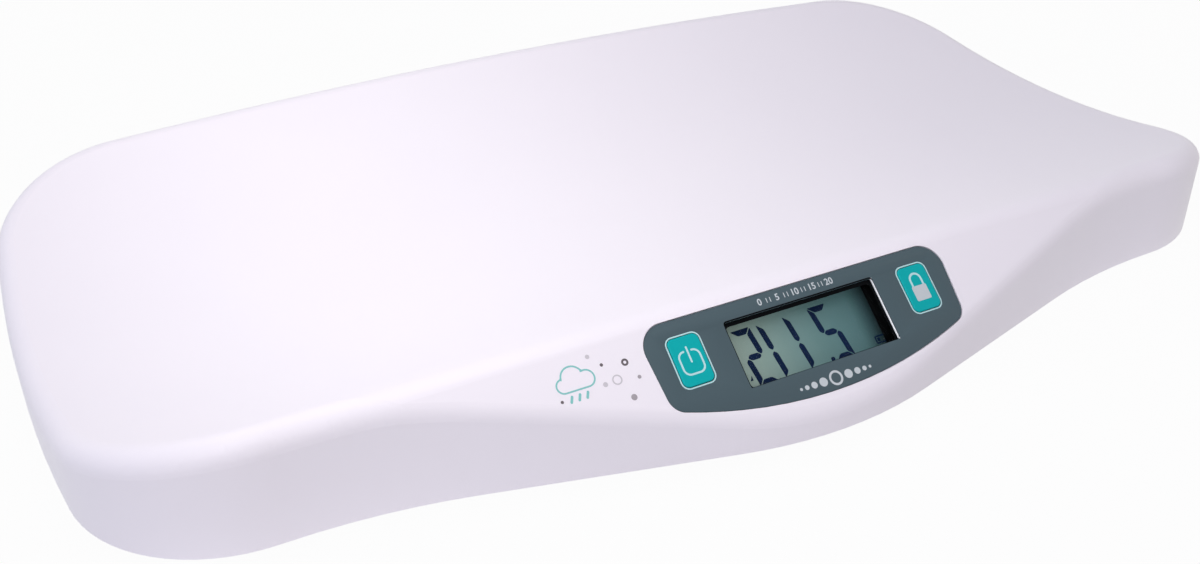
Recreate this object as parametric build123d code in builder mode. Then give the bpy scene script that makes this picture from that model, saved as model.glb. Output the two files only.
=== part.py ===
from build123d import *
import math
import os

os.makedirs("parts", exist_ok=True)

# Digital baby weighing scale.  All sizes in millimetres.
# X runs along the tray, Y from the display to the back, Z up from the floor under the feet.

# ---- Tray: overall form --------------------------------------------------------------
length = 550.0               # end to end
depth = 320.0                # tip of the display lobe to the middle of the back
skirt_z = 7.5                # floor to the skirt's lower edge
wall = 3.0                   # tray moulding
rim_radius = 8.0             # rounding along the top edge of the skirt

lobe_reach = 40.5            # how far the display lobe stands out in front
lobe_flank = 15.0            # angle of the lobe's flanks to the front, degrees
lobe_nose_radius = 170.0
lobe_root_radius = 268.0
end_bow = 13.0               # bow of each end over its length
back_bow = 12.0              # bow of the back over the length
front_straight = 1.2         # between the lobe's root and the front corner
back_corner = 67.0

slope = 39.1                 # tilt of the apron that carries the display, degrees
panel_setback = 24.3         # lobe's tip to the middle of the display
panel_z = 38.3
crest_setback = 44.4         # lobe's tip to where the apron meets the lying surface
crest_radius = 11.0
trough_y = 29.5              # lowest line of the lying surface
trough_z = 31.2
back_rim_z = 59.2            # lying surface carried on to the back, before rounding

# ---- Display and keys, as depths below the apron's surface ------------------------------
panel_recess = 0.3
panel_thickness = 1.2
panel_gap = 0.3              # around the panel in its pocket
panel_half = 71.0            # half its width at the top
panel_foot = 68.6            # half its width at the lower corners
panel_top = 20.5             # up the slope from the display's middle
panel_side = -12.5           # lower corners
panel_bottom = -24.4         # lowest point of the curved lower edge
panel_top_corner = 10.0
panel_low_corner = 7.0

view_width = 70.0
view_height = 26.8
window_thickness = 1.0
window_lap = 2.0             # of the clear window under the panel, each side
window_gap = 0.2
glass_depth = 9.5            # apron's surface to the face of the LCD glass
glass_width = 74.0
glass_height = 33.0
glass_thickness = 2.2
shroud_wall = 1.8
shroud_gap = 0.2             # shroud to the glass, and to the tray
strip_width = 2.0            # elastomer connectors under the glass
strip_inset = 1.5            # from the glass's edge

board_depth = 14.2           # apron's surface to the face of the main board
board_width = 130.0
board_height = 41.0
board_shift = 2.5            # board's middle, up the slope from the display's middle
board_thickness = 1.6
post_radius = 3.0            # board posts under the apron
post_x = 43.5
post_low = -14.5
post_high = 19.5

key_x = 54.0
key_v = 3.7
key_width = 13.4
key_height = 19.4
key_corner = 2.5
key_gap = 0.25               # key to the edge of its opening
key_proud = 0.2              # above the apron's surface
key_edge = 0.5
key_travel = 0.5
key_seat = 0.1               # flange to the shelf above it
flange_lap = 1.5
flange_thickness = 1.0
stem_radius = 2.2

switch_size = 6.0
switch_height = 3.6
plunger_radius = 1.7
plunger_proud = 1.0
plunger_length = 2.8
plunger_gap = 0.05
plunger_spare = 0.3          # room below a pressed plunger

chip_place = (-24.0, 12.0)   # amplifier, as seen from the board's front
chip_length = 10.4
chip_width = 4.0
chip_height = 1.6
chip_legs = 8
chip_pitch = 1.27
chip_leg_width = 0.4
chip_leg_height = 0.5
chip_leg_reach = 1.0
glob_radius = 7.0            # controller under its drop of epoxy
glob_height = 1.5
glob_edge = 1.2
capacitor_places = ((22.0, 12.0), (30.0, 12.0), (-38.0, 2.0))
capacitor_radius = 2.5
capacitor_height = 5.5
resistor_xs = (-12.0, -4.0, 14.0, 20.0)
resistor_vs = (-12.0, 19.0)
resistor_length = 3.2
resistor_width = 1.6
resistor_height = 0.6

# ---- Base shell -------------------------------------------------------------------------
base_lift = 0.5              # base's underside above the skirt's lower edge
base_gap = 0.3               # base to the inside of the skirt
base_floor = 2.5
base_rim = 2.0
base_rim_height = 4.5
rib_thickness = 2.0
base_rib_height = 3.0
base_rib_ys = (-56.0, 78.0)
base_rib_xs = (112.0, 172.0)
tray_rib_z = 25.0            # lower edge of the ribs under the lying surface
tray_rib_ys = (-62.0, -22.0, 62.0, 104.0)
tray_rib_xs = (70.0, 140.0, 205.0)
tray_rib_front = 65.0        # lobe's tip to the ribs that run front to back
tray_rib_back = 13.0         # middle of the back to the same ribs

lobe_screw = (84.0, 48.0)    # from the middle of the length and from the lobe's tip
root_screw = (50.0, 62.0)    # from the foot's middle, inwards, and from the lobe's tip
back_screw = (120.0, 24.0)   # from the middle of the length and from the back
end_screw = (29.0, 16.0)     # from the end and from the middle of the depth
bay_screw = (100.0, 20.0)    # beside the battery bay
pedestal_radius = 6.0
pedestal_height = 3.5        # above the base's floor
tray_boss_radius = 4.5
screw_radius = 1.25
screw_pilot_gap = 0.05
screw_hole_gap = 0.45
screw_head_radius = 2.8
screw_head_height = 2.2
screw_sink = 3.2             # depth of the head's counterbore
screw_sink_gap = 0.5
screw_bite = 11.0            # screw's length in the tray
pilot_spare = 1.0            # pilot hole beyond the screw's end
cross_width = 0.8
cross_span = 1.3             # the cross's length over the head's radius
cross_depth = 0.45           # of the head's height

# ---- Feet and load cells ----------------------------------------------------------------
foot_end_inset = 65.0        # foot's middle from the end, or where the front corner begins
foot_front_inset = 76.0      # from the lobe's tip
foot_back_inset = 48.0       # from the middle of the back
foot_radius = 18.5
foot_groove = 5.5            # depth of the hollow round the stem
foot_shell = 2.0
foot_gap = 2.5               # foot to the wall of its well
well_depth = 2.5
well_wall = 2.5
foot_headroom = 1.0          # foot's shoulder to the well's ceiling
pad_radius = 16.0
pad_height = 2.2
pad_seat = 0.7               # how deep the pad sits in the foot
pad_gap = 0.1
foot_stem_radius = 8.0
stem_hole_gap = 1.2
foot_travel = 0.4            # a lifted foot hangs this much lower

cell_size = 34.0
cell_thickness = 1.8
cell_corner = 2.0
cell_lift = 1.5              # rails under the cell
rail_width = 3.5
tongue_width = 16.4
tongue_length = 21.0
slot_width = 1.6
pin_radius = 3.9
pin_gap = 0.1
pin_rise = 2.6               # load pin above the cell
clip_radius = 6.5
clip_thickness = 0.8
clip_groove = 0.6
clip_slack = 0.1
gauge_y = -13.0              # from the cell's middle
gauge_width = 8.0
gauge_length = 5.0
gauge_thickness = 0.3
clamp_x = 14.5
clamp_y = 21.0
clamp_width = 5.0
clamp_corner = 2.0
clamp_thickness = 1.8
clamp_post_radius = 3.0
small_screw_radius = 1.0
small_head_radius = 2.0
small_head_height = 1.2
small_screw_bite = 5.5
small_hole_gap = 0.2
small_pilot_spare = 0.5

# ---- Batteries --------------------------------------------------------------------------
battery_y = 15.0
battery_count = 4
battery_pitch = 11.4
battery_radius = 5.15        # AAA size
battery_body = 43.3
battery_edge = 0.5
nub_radius = 1.9
nub_height = 1.1
battery_gap = 0.25           # cell to the door and to the ceiling
bay_width = 46.2
bay_length = 51.0
bay_wall = 2.0
contact_thickness = 0.5
contact_width = 9.4
contact_height = 9.0
spring_radius = 3.2
spring_wire = 0.4
spring_pitch = 1.5
spring_seat = 0.1            # the coil's ends to the contact and the cell
tab_width = 2.4
tab_length = 3.0
tab_z = 17.0
tab_gap = 0.2

door_width = 54.0
door_length = 60.0
door_thickness = 2.0
door_gap = 0.3
door_recess = 0.25
door_corner = 2.0
hinge_pin_radius = 0.8
hinge_pin_length = 2.2
hinge_gap = 0.05
latch_width = 12.0
latch_thickness = 1.4
latch_edge = 0.55
latch_height = 3.6
latch_inset = 0.3
latch_gap = 0.8
notch_radius = 8.0
notch_depth = 1.2            # in the base
thumb_depth = 0.8            # in the door
frame_lap = 3.3              # battery bay's frame round the door opening
frame_height = 2.0

# ---- Unit key on the underside ------------------------------------------------------------
unit_x = 60.0
unit_y = 15.0
unit_radius = 4.8
unit_gap = 0.2
unit_recess = 0.3
unit_lap = 1.5
unit_stem_radius = 2.0
unit_stem_length = 1.6
unit_board_width = 27.0
unit_board_depth = 14.0
unit_post_radius = 2.6
unit_post_x = 9.8

# ---- Rating label -------------------------------------------------------------------------
label_width = 62.0
label_height = 34.0
label_corner = 3.0
label_thickness = 0.2
label_x = -82.0
label_y = 44.0

# ---- Leads --------------------------------------------------------------------------------
lead_radius = 0.9
lead_z = 14.6                # where the leads lie across the base's ribs
lead_gap = 0.05              # above the gauges
arc_share = 0.45             # share of the shorter run that an arc takes
gauge_run = 8.8              # straight run past a gauge's edge
gauge_drift = 0.6            # sideways over that run
gauge_rise = 0.2             # upwards over that run
tab_run = 16.0               # straight run from a battery contact's tab

# Ways of the leads over the base, as shares of the distance from where a lead starts to
# where it meets the board: along the tray, then towards the front.
front_cell_way = ((0.08, 0.53), (0.24, 0.48), (0.46, 0.35), (0.66, 0.19), (0.86, 0.26))
back_cell_way = ((0.05, 0.16), (0.13, 0.28), (0.29, 0.43), (0.44, 0.61), (0.66, 0.76), (0.88, 0.84))
battery_way = ((0.0, 0.33), (0.38, 0.59), (0.93, 0.77))
unit_way = ((0.15, 0.34), (0.47, 0.6), (0.88, 0.79))
front_cell_pad = (52.0, 2.0, 9.0)    # on the board: u, v, and the straight run up to it
back_cell_pad = (34.0, 2.0, 11.0)
red_pad = (-12.0, 1.0, 12.0)
black_pad = (10.0, 1.0, 12.0)
unit_pad = (20.0, 1.0, 13.0)
unit_lead_x = 6.0            # from the unit key's middle

# ---- Places worked out from the sizes above -----------------------------------------------
front_y = -depth / 2
back_y = depth / 2
end_x = length / 2
panel_y = front_y + panel_setback
crest_y = front_y + crest_setback
tilt = math.radians(slope)
deck = Plane((0, panel_y, panel_z), x_dir=(1, 0, 0), z_dir=(0, -math.sin(tilt), math.cos(tilt)))
panel_floor = panel_recess + panel_thickness
window_floor = panel_floor + window_thickness
board_back = board_depth + board_thickness
base_z = skirt_z + base_lift
floor_z = base_z + base_floor
switch_well = plunger_length - plunger_proud + key_travel + plunger_spare
sides = (-1, 1)
near = 1.0                   # tolerance when corners and edges are picked by their place or length
posts = [(sx * post_x, v) for sx in sides for v in (post_low, post_high)]
key_places = {"power": (-key_x, key_v), "hold": (key_x, key_v)}
resistor_places = [(x, v) for x in resistor_xs for v in resistor_vs]
shoulder_y = front_y + lobe_reach
side_x = end_x - end_bow
back_side_y = back_y - back_bow
flank = math.radians(lobe_flank)
nose_rise = lobe_nose_radius * (1 / math.cos(flank) - 1)
lobe_root_x = (lobe_reach + nose_rise) / math.tan(flank)
# The front corner's radius is the one that meets the front beside the lobe's root and is
# tangent to the bowed end.
end_middle_y = (shoulder_y + back_side_y) / 2
half_end = (back_side_y - shoulder_y) / 2
end_radius = (half_end**2 + end_bow**2) / (2 * end_bow)
back_radius = (side_x**2 + back_bow**2) / (2 * back_bow)
corner_x = lobe_root_x + lobe_root_radius * math.tan(flank / 2) + front_straight
corner_reach = corner_x - end_x + end_radius
front_corner = (end_radius**2 - half_end**2 - corner_reach**2) / (2 * (end_radius - half_end))
foot_x = min(end_x - foot_end_inset, corner_x)
foot_front_y = front_y + foot_front_inset
foot_back_y = back_y - foot_back_inset
feet = {
    "front_left": (-foot_x, foot_front_y),
    "front_right": (foot_x, foot_front_y),
    "back_left": (-foot_x, foot_back_y),
    "back_right": (foot_x, foot_back_y),
}
screw_places = [
    (lobe_screw[0], front_y + lobe_screw[1]),
    (foot_x - root_screw[0], front_y + root_screw[1]),
    (back_screw[0], back_y - back_screw[1]),
    (end_x - end_screw[0], end_screw[1]),
    bay_screw,
]
case_screw_places = [(sx * x, y) for x, y in screw_places for sx in sides]
pedestal_z = floor_z + pedestal_height
screw_seat_z = base_z + screw_sink
screw_top_z = pedestal_z + screw_bite
well_z = base_z + well_depth
well_top_z = well_z + well_wall
cell_z = well_top_z + cell_lift
cell_top_z = cell_z + cell_thickness
clamp_places = [(sx * clamp_x, sy * clamp_y) for sx in sides for sy in sides]
door_z = base_z + door_recess
hinge_y = battery_y + door_length / 2 - door_thickness / 2
hinge_z = door_z + door_thickness / 2
battery_z = door_z + door_thickness + battery_gap + battery_radius
bay_top_z = battery_z + battery_radius + battery_gap
battery_xs = [(i - (battery_count - 1) / 2) * battery_pitch for i in range(battery_count)]
unit_flange_z = floor_z + key_seat
unit_plunger_z = unit_flange_z + flange_thickness + unit_stem_length
unit_switch_z = unit_plunger_z + plunger_proud
unit_board_z = unit_switch_z + switch_height


def save(piece, name):
    """Label a finished piece and write its STEP file."""
    piece.part.label = name
    export_step(piece.part, f"parts/{name}.step")


def apron_z(y):
    """Height of the apron's plane at y, before any rounding."""
    return panel_z + (y - panel_y) * math.tan(tilt)


def deck_plane(below):
    """Plane parallel to the apron, a depth below its surface."""
    return deck.offset(-below)


# ---- Outlines -----------------------------------------------------------------------------
def plan_inside(inset):
    """Outline of the tray from above, drawn inwards all round by an inset."""
    root_x = lobe_root_x - inset * math.tan(flank / 2)
    root_y = shoulder_y + inset
    nose_y = front_y - nose_rise + inset / math.cos(flank)
    with BuildSketch() as outline:
        with BuildLine():
            front = Polyline((0, depth), (length, depth), (length, root_y), (root_x, root_y), (0, nose_y))
            mirror(front, about=Plane.YZ)
        make_face()
        for side in sides:
            with Locations(Location((side * (end_x - end_radius), end_middle_y, 0), (0, 0, 90 + side * 90))):
                Circle(end_radius - inset, mode=Mode.INTERSECT)
        with Locations(Location((0, back_y - back_radius, 0), (0, 0, -90))):
            Circle(back_radius - inset, mode=Mode.INTERSECT)
        nose = outline.vertices().group_by(Axis.Y)[0]
        fillet(nose, radius=lobe_nose_radius - inset)
        roots = outline.vertices().filter_by(lambda v: abs(abs(v.X) - root_x) < near)
        fillet(roots, radius=lobe_root_radius + inset)
        corners = outline.vertices().filter_by(lambda v: abs(v.X) > side_x - end_bow)
        fillet(corners.group_by(Axis.Y)[0], radius=front_corner - inset)
        corners = outline.vertices().group_by(Axis.Y)[-1]
        fillet(corners, radius=back_corner - inset)
    return outline.sketch


with BuildSketch() as panel_outline:
    with BuildLine():
        top = Line((-panel_half, panel_top), (panel_half, panel_top))
        low_right = (panel_foot, panel_side)
        low_left = (-panel_foot, panel_side)
        Line(top @ 1, low_right)
        ThreePointArc(low_right, (0, panel_bottom), low_left)
        Line(low_left, top @ 0)
    make_face()
    fillet(panel_outline.vertices().group_by(Axis.Y)[-1], radius=panel_top_corner)
    low_corners = panel_outline.vertices().filter_by(lambda v: v.Y < panel_side + near)
    fillet(low_corners, radius=panel_low_corner)

with BuildSketch() as key_openings:
    with Locations(*key_places.values()):
        RectangleRounded(key_width + 2 * key_gap, key_height + 2 * key_gap, key_corner + key_gap)


# ---- Tray shell ---------------------------------------------------------------------------
def tray_form(inset):
    """Solid of the tray, drawn inset from its outer faces all round."""
    with BuildPart() as form:
        with BuildSketch(Plane.XY.offset(skirt_z)):
            add(plan_inside(inset))
        extrude(amount=length)
        with BuildSketch(Plane.YZ) as profile:
            with BuildLine():
                apron = Line((2 * front_y, apron_z(2 * front_y)), (crest_y, apron_z(crest_y)))
                trough = ThreePointArc(apron @ 1, (trough_y, trough_z), (back_y, back_rim_z))
                beyond = trough @ 1 + (trough % 1) * depth
                Polyline(trough @ 1, beyond, (beyond.X, -length), (2 * front_y, -length), apron @ 0)
            make_face()
            crest = profile.vertices().sort_by_distance((crest_y, apron_z(crest_y), 0))[0]
            fillet(crest, radius=crest_radius)
            if inset:
                offset(amount=-inset)
        extrude(amount=length, both=True, mode=Mode.INTERSECT)
        upper = form.faces().filter_by(lambda face: face.normal_at().Z > 0.3)
        fillet(upper.edges().filter_by(Axis.X, reverse=True), radius=rim_radius - inset)
    return form.part


def tray_hollow():
    """The air inside the tray: its inner form less the bosses, posts and ribs."""
    inner = tray_form(wall)
    rib_start = front_y + tray_rib_front
    rib_end = back_y - tray_rib_back
    with BuildPart() as hollow:
        add(inner)
        with BuildSketch(Plane.XY.offset(pedestal_z)):
            with Locations(*case_screw_places):
                Circle(tray_boss_radius)
        extrude(amount=length, mode=Mode.SUBTRACT)
        with BuildSketch(Plane.XY.offset(tray_rib_z)):
            for y in tray_rib_ys:
                with Locations((0, y)):
                    Rectangle(length, rib_thickness)
            for x in tray_rib_xs:
                with Locations((-x, (rib_start + rib_end) / 2), (x, (rib_start + rib_end) / 2)):
                    Rectangle(rib_thickness, rib_end - rib_start)
        extrude(amount=length, mode=Mode.SUBTRACT)
        with BuildSketch(deck_plane(board_depth)):
            with Locations(*posts):
                Circle(post_radius)
        extrude(amount=board_depth, mode=Mode.SUBTRACT)
    return hollow.part


outer_form = tray_form(0)
hollow_form = tray_hollow()

with BuildPart() as tray_shell:
    add(outer_form)
    add(hollow_form, mode=Mode.SUBTRACT)
    # Pocket of the panel, then of the window, then the openings through the shelf.
    with BuildSketch(deck):
        add(panel_outline.sketch)
        offset(amount=panel_gap)
    extrude(amount=-panel_floor, mode=Mode.SUBTRACT)
    with BuildSketch(deck_plane(panel_floor)):
        Rectangle(view_width + 2 * window_lap, view_height + 2 * window_lap)
    extrude(amount=-window_thickness, mode=Mode.SUBTRACT)
    with BuildSketch(deck_plane(wall)):
        Rectangle(view_width, view_height + window_lap)
        add(key_openings.sketch)
    extrude(amount=wall, mode=Mode.SUBTRACT)
    # Pilot holes for the case screws and the board screws.
    with BuildSketch(Plane.XY.offset(pedestal_z)):
        with Locations(*case_screw_places):
            Circle(screw_radius + screw_pilot_gap)
    extrude(amount=screw_bite + pilot_spare, mode=Mode.SUBTRACT)
    with BuildSketch(deck_plane(board_depth)):
        with Locations(*posts):
            Circle(small_screw_radius + screw_pilot_gap)
    extrude(amount=small_screw_bite + pilot_spare, mode=Mode.SUBTRACT)
save(tray_shell, "tray_shell")


# ---- Display ------------------------------------------------------------------------------
with BuildPart() as display_panel:
    with BuildSketch(deck_plane(panel_floor)):
        add(panel_outline.sketch)
        Rectangle(view_width, view_height, mode=Mode.SUBTRACT)
        add(key_openings.sketch, mode=Mode.SUBTRACT)
    extrude(amount=panel_thickness)
save(display_panel, "display_panel")

with BuildPart() as display_window:
    with BuildSketch(deck_plane(window_floor)):
        window_width = view_width + 2 * (window_lap - window_gap)
        window_height = view_height + 2 * (window_lap - window_gap)
        Rectangle(window_width, window_height)
    extrude(amount=window_thickness)
save(display_window, "display_window")

shroud_width = glass_width + 2 * (shroud_gap + shroud_wall)
shroud_height = glass_height + 2 * (shroud_gap + shroud_wall)
with BuildPart() as display_shroud:
    with BuildSketch(deck_plane(board_depth)):
        Rectangle(shroud_width, shroud_height)
    extrude(amount=board_depth - wall - shroud_gap)
    with BuildSketch(deck_plane(board_depth)):
        Rectangle(glass_width + 2 * shroud_gap, glass_height + 2 * shroud_gap)
    extrude(amount=board_depth - glass_depth, mode=Mode.SUBTRACT)
    with BuildSketch(deck_plane(glass_depth)):
        Rectangle(view_width + shroud_gap, view_height + window_lap + shroud_gap)
    extrude(amount=glass_depth, mode=Mode.SUBTRACT)
save(display_shroud, "display_shroud")

glass_back = glass_depth + glass_thickness
with BuildPart() as lcd_glass:
    with BuildSketch(deck_plane(glass_back)):
        Rectangle(glass_width, glass_height)
    extrude(amount=glass_thickness)
save(lcd_glass, "lcd_glass")

strip_v = glass_height / 2 - strip_inset - strip_width / 2
with BuildPart() as elastomer_strips:
    with BuildSketch(deck_plane(board_depth)):
        with Locations((0, -strip_v), (0, strip_v)):
            Rectangle(view_width, strip_width)
    extrude(amount=board_depth - glass_back)
save(elastomer_strips, "elastomer_strips")

with BuildPart() as main_board:
    with BuildSketch(deck_plane(board_back)):
        with Locations((0, board_shift)):
            RectangleRounded(board_width, board_height, post_radius)
        with Locations(*posts):
            Circle(small_screw_radius + small_hole_gap, mode=Mode.SUBTRACT)
    extrude(amount=board_thickness)
save(main_board, "main_board")


# ---- Parts on the back of the main board ----------------------------------------------------
back_of_board = Plane(deck_plane(board_back).origin, x_dir=(1, 0, 0), z_dir=-deck.z_dir)


def back_place(place):
    """A place on the back of the board from its place as seen on the front."""
    return (place[0], -place[1])


with BuildPart() as controller_chip:
    with BuildSketch(back_of_board):
        Circle(glob_radius)
    extrude(amount=glob_height)
    fillet(controller_chip.edges().filter_by(GeomType.CIRCLE).group_by(Axis.Z)[0], radius=glob_edge)
save(controller_chip, "controller_chip")

with BuildPart() as amplifier_chip:
    with BuildSketch(back_of_board):
        with Locations(back_place(chip_place)):
            Rectangle(chip_length, chip_width)
            with GridLocations(chip_pitch, 0, chip_legs, 1):
                Rectangle(chip_leg_width, chip_width + 2 * chip_leg_reach)
    extrude(amount=chip_leg_height)
    with BuildSketch(back_of_board):
        with Locations(back_place(chip_place)):
            Rectangle(chip_length, chip_width)
    extrude(amount=chip_height)
save(amplifier_chip, "amplifier_chip")

with BuildPart() as board_capacitors:
    with BuildSketch(back_of_board):
        with Locations(*[back_place(p) for p in capacitor_places]):
            Circle(capacitor_radius)
    extrude(amount=capacitor_height)
save(board_capacitors, "board_capacitors")

with BuildPart() as board_resistors:
    with BuildSketch(back_of_board):
        with Locations(*[back_place(p) for p in resistor_places]):
            Rectangle(resistor_length, resistor_width)
    extrude(amount=resistor_height)
save(board_resistors, "board_resistors")


# ---- Keys and switches ----------------------------------------------------------------------
switch_face = board_depth - switch_height
plunger_face = switch_face - plunger_proud
flange_top = wall + key_seat


def panel_key(place):
    """Key with its flange under the tray's shelf and a stem down to the switch."""
    with BuildPart() as key:
        with BuildSketch(deck_plane(flange_top)):
            with Locations(place):
                RectangleRounded(key_width, key_height, key_corner)
        extrude(amount=flange_top + key_proud)
        face = key.faces().sort_by(Axis(deck.origin, deck.z_dir))[-1]
        fillet(face.edges(), radius=key_edge)
        with BuildSketch(deck_plane(flange_top)):
            with Locations(place):
                lap = 2 * flange_lap
                RectangleRounded(key_width + lap, key_height + lap, key_corner + flange_lap)
        extrude(amount=-flange_thickness)
        with BuildSketch(deck_plane(flange_top)):
            with Locations(place):
                Circle(stem_radius)
        extrude(amount=flange_top - plunger_face)
    return key


def switch_plunger(plane, place):
    """Plunger of a tact switch, its outer face on the plane."""
    with BuildPart() as plunger:
        with BuildSketch(plane):
            with Locations(place):
                Circle(plunger_radius)
        extrude(amount=-plunger_length)
    return plunger


def switch_housing(plane, place):
    """Housing of a tact switch, its face on the plane."""
    with BuildPart() as housing:
        with BuildSketch(plane):
            with Locations(place):
                Rectangle(switch_size, switch_size)
        extrude(amount=-switch_height)
        with BuildSketch(plane):
            with Locations(place):
                Circle(plunger_radius + plunger_gap)
        extrude(amount=-switch_well, mode=Mode.SUBTRACT)
    return housing


for name, place in key_places.items():
    save(panel_key(place), f"{name}_key")
    save(switch_plunger(deck_plane(plunger_face), place), f"{name}_plunger")
    save(switch_housing(deck_plane(switch_face), place), f"{name}_switch")

unit_down = Plane((unit_x, unit_y, unit_plunger_z), x_dir=(1, 0, 0), z_dir=(0, 0, -1))
unit_switch_down = unit_down.offset(-plunger_proud)

with BuildPart() as unit_key:
    with BuildSketch(Plane.XY.offset(base_z + unit_recess)):
        with Locations((unit_x, unit_y)):
            Circle(unit_radius)
    extrude(amount=unit_flange_z - base_z - unit_recess)
    fillet(unit_key.edges().group_by(Axis.Z)[0], radius=key_edge)
    with BuildSketch(Plane.XY.offset(unit_flange_z)):
        with Locations((unit_x, unit_y)):
            Circle(unit_radius + unit_lap)
    extrude(amount=flange_thickness)
    with BuildSketch(Plane.XY.offset(unit_flange_z)):
        with Locations((unit_x, unit_y)):
            Circle(unit_stem_radius)
    extrude(amount=unit_plunger_z - unit_flange_z)
save(unit_key, "unit_key")
save(switch_plunger(unit_down, (0, 0)), "unit_plunger")
save(switch_housing(unit_switch_down, (0, 0)), "unit_switch")

unit_posts = [(unit_x + sx * unit_post_x, unit_y) for sx in sides]
with BuildPart() as unit_board:
    with BuildSketch(Plane.XY.offset(unit_board_z)):
        with Locations((unit_x, unit_y)):
            Rectangle(unit_board_width, unit_board_depth)
        with Locations(*unit_posts):
            Circle(small_screw_radius + small_hole_gap, mode=Mode.SUBTRACT)
    extrude(amount=board_thickness)
save(unit_board, "unit_board")


# ---- Base shell -----------------------------------------------------------------------------
bay_outer = (bay_width + 2 * bay_wall, bay_length + 2 * bay_wall)
door_opening = (door_width + 2 * door_gap, door_length + 2 * door_gap)
latch_y = battery_y - door_length / 2 + latch_inset + latch_thickness / 2

with BuildSketch() as door_mouth:
    with Locations((0, battery_y)):
        Rectangle(*door_opening)
    fillet(door_mouth.vertices().group_by(Axis.Y)[0], radius=door_corner + door_gap)

with BuildPart() as base_shell:
    with BuildSketch(Plane.XY.offset(base_z)):
        add(plan_inside(wall + base_gap))
    extrude(amount=base_floor)
    with BuildSketch(Plane.XY.offset(base_z)):
        add(plan_inside(wall + base_gap))
        add(plan_inside(wall + base_gap + base_rim), mode=Mode.SUBTRACT)
    extrude(amount=base_rim_height)
    # Ribs on the floor.
    with BuildSketch(Plane.XY.offset(floor_z)):
        add(plan_inside(wall + base_gap + base_rim / 2))
        with BuildSketch(mode=Mode.INTERSECT):
            for y in base_rib_ys:
                with Locations((0, y)):
                    Rectangle(length, rib_thickness)
            for x in base_rib_xs:
                with Locations((-x, 0), (x, 0)):
                    Rectangle(rib_thickness, depth)
    extrude(amount=base_rib_height)
    # Raised wells for the feet, rails and clamp posts for the load cells.
    with BuildSketch(Plane.XY.offset(base_z)):
        with Locations(*feet.values()):
            Circle(foot_radius + foot_gap + well_wall)
    extrude(amount=well_top_z - base_z)
    with BuildSketch(Plane.XY.offset(base_z)):
        with Locations(*feet.values()):
            with Locations((0, -(cell_size - rail_width) / 2), (0, (cell_size - rail_width) / 2)):
                Rectangle(cell_size, rail_width)
    extrude(amount=cell_z - base_z)
    with BuildSketch(Plane.XY.offset(base_z)):
        with Locations(*feet.values()):
            with Locations(*clamp_places):
                Circle(clamp_post_radius)
    extrude(amount=cell_top_z - base_z)
    with BuildSketch(Plane.XY.offset(base_z)):
        with Locations(*feet.values()):
            Circle(foot_radius + foot_gap)
    extrude(amount=well_depth, mode=Mode.SUBTRACT)
    with BuildSketch(Plane.XY.offset(base_z)):
        with Locations(*feet.values()):
            Circle(foot_stem_radius + stem_hole_gap)
    extrude(amount=cell_z - base_z, mode=Mode.SUBTRACT)
    with BuildSketch(Plane.XY.offset(cell_top_z)):
        with Locations(*feet.values()):
            with Locations(*clamp_places):
                Circle(small_screw_radius + screw_pilot_gap)
    extrude(amount=-(small_screw_bite - clamp_thickness + small_pilot_spare), mode=Mode.SUBTRACT)
    # Pedestals that meet the tray's bosses.
    with BuildSketch(Plane.XY.offset(base_z)):
        with Locations(*case_screw_places):
            Circle(pedestal_radius)
    extrude(amount=pedestal_z - base_z)
    with BuildSketch(Plane.XY.offset(base_z)):
        with Locations(*case_screw_places):
            Circle(screw_radius + screw_hole_gap)
    extrude(amount=pedestal_z - base_z, mode=Mode.SUBTRACT)
    with BuildSketch(Plane.XY.offset(base_z)):
        with Locations(*case_screw_places):
            Circle(screw_head_radius + screw_sink_gap)
    extrude(amount=screw_sink, mode=Mode.SUBTRACT)
    # Battery bay with its frame, its mouth and the door's opening.
    with BuildSketch(Plane.XY.offset(floor_z)):
        with Locations((0, battery_y)):
            Rectangle(door_opening[0] + 2 * frame_lap, door_opening[1] + 2 * frame_lap)
    extrude(amount=frame_height)
    with BuildSketch(Plane.XY.offset(floor_z)):
        with Locations((0, battery_y)):
            Rectangle(*bay_outer)
    extrude(amount=bay_top_z + bay_wall - floor_z)
    with BuildSketch(Plane.XY.offset(base_z)):
        with Locations((0, battery_y)):
            Rectangle(bay_width, bay_length)
    extrude(amount=bay_top_z - base_z, mode=Mode.SUBTRACT)
    with BuildSketch(Plane.XY.offset(base_z)):
        add(door_mouth.sketch)
        with Locations((0, battery_y - door_length / 2)):
            Circle(notch_radius)
    extrude(amount=notch_depth, mode=Mode.SUBTRACT)
    with BuildSketch(Plane.XY.offset(base_z)):
        add(door_mouth.sketch)
    extrude(amount=base_floor, mode=Mode.SUBTRACT)
    with BuildSketch(Plane.XY.offset(floor_z)):
        with Locations((0, latch_y)):
            Rectangle(latch_width + 2 * latch_gap, latch_thickness + 2 * latch_gap)
    extrude(amount=frame_height + latch_height, mode=Mode.SUBTRACT)
    with BuildSketch(Plane.YZ):
        with Locations((hinge_y, hinge_z)):
            Circle(hinge_pin_radius + hinge_gap)
    extrude(amount=door_width / 2 + hinge_pin_length + door_gap, both=True, mode=Mode.SUBTRACT)
    # Slots for the solder tabs of the outer contacts.
    with BuildSketch(Plane.XY.offset(tab_z - contact_thickness / 2 - tab_gap)):
        with Locations(
            (battery_xs[0], battery_y - (bay_length + bay_wall) / 2),
            (battery_xs[-1], battery_y - (bay_length + bay_wall) / 2),
        ):
            Rectangle(tab_width + 2 * tab_gap, 2 * bay_wall)
    extrude(amount=contact_thickness + 2 * tab_gap, mode=Mode.SUBTRACT)
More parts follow.
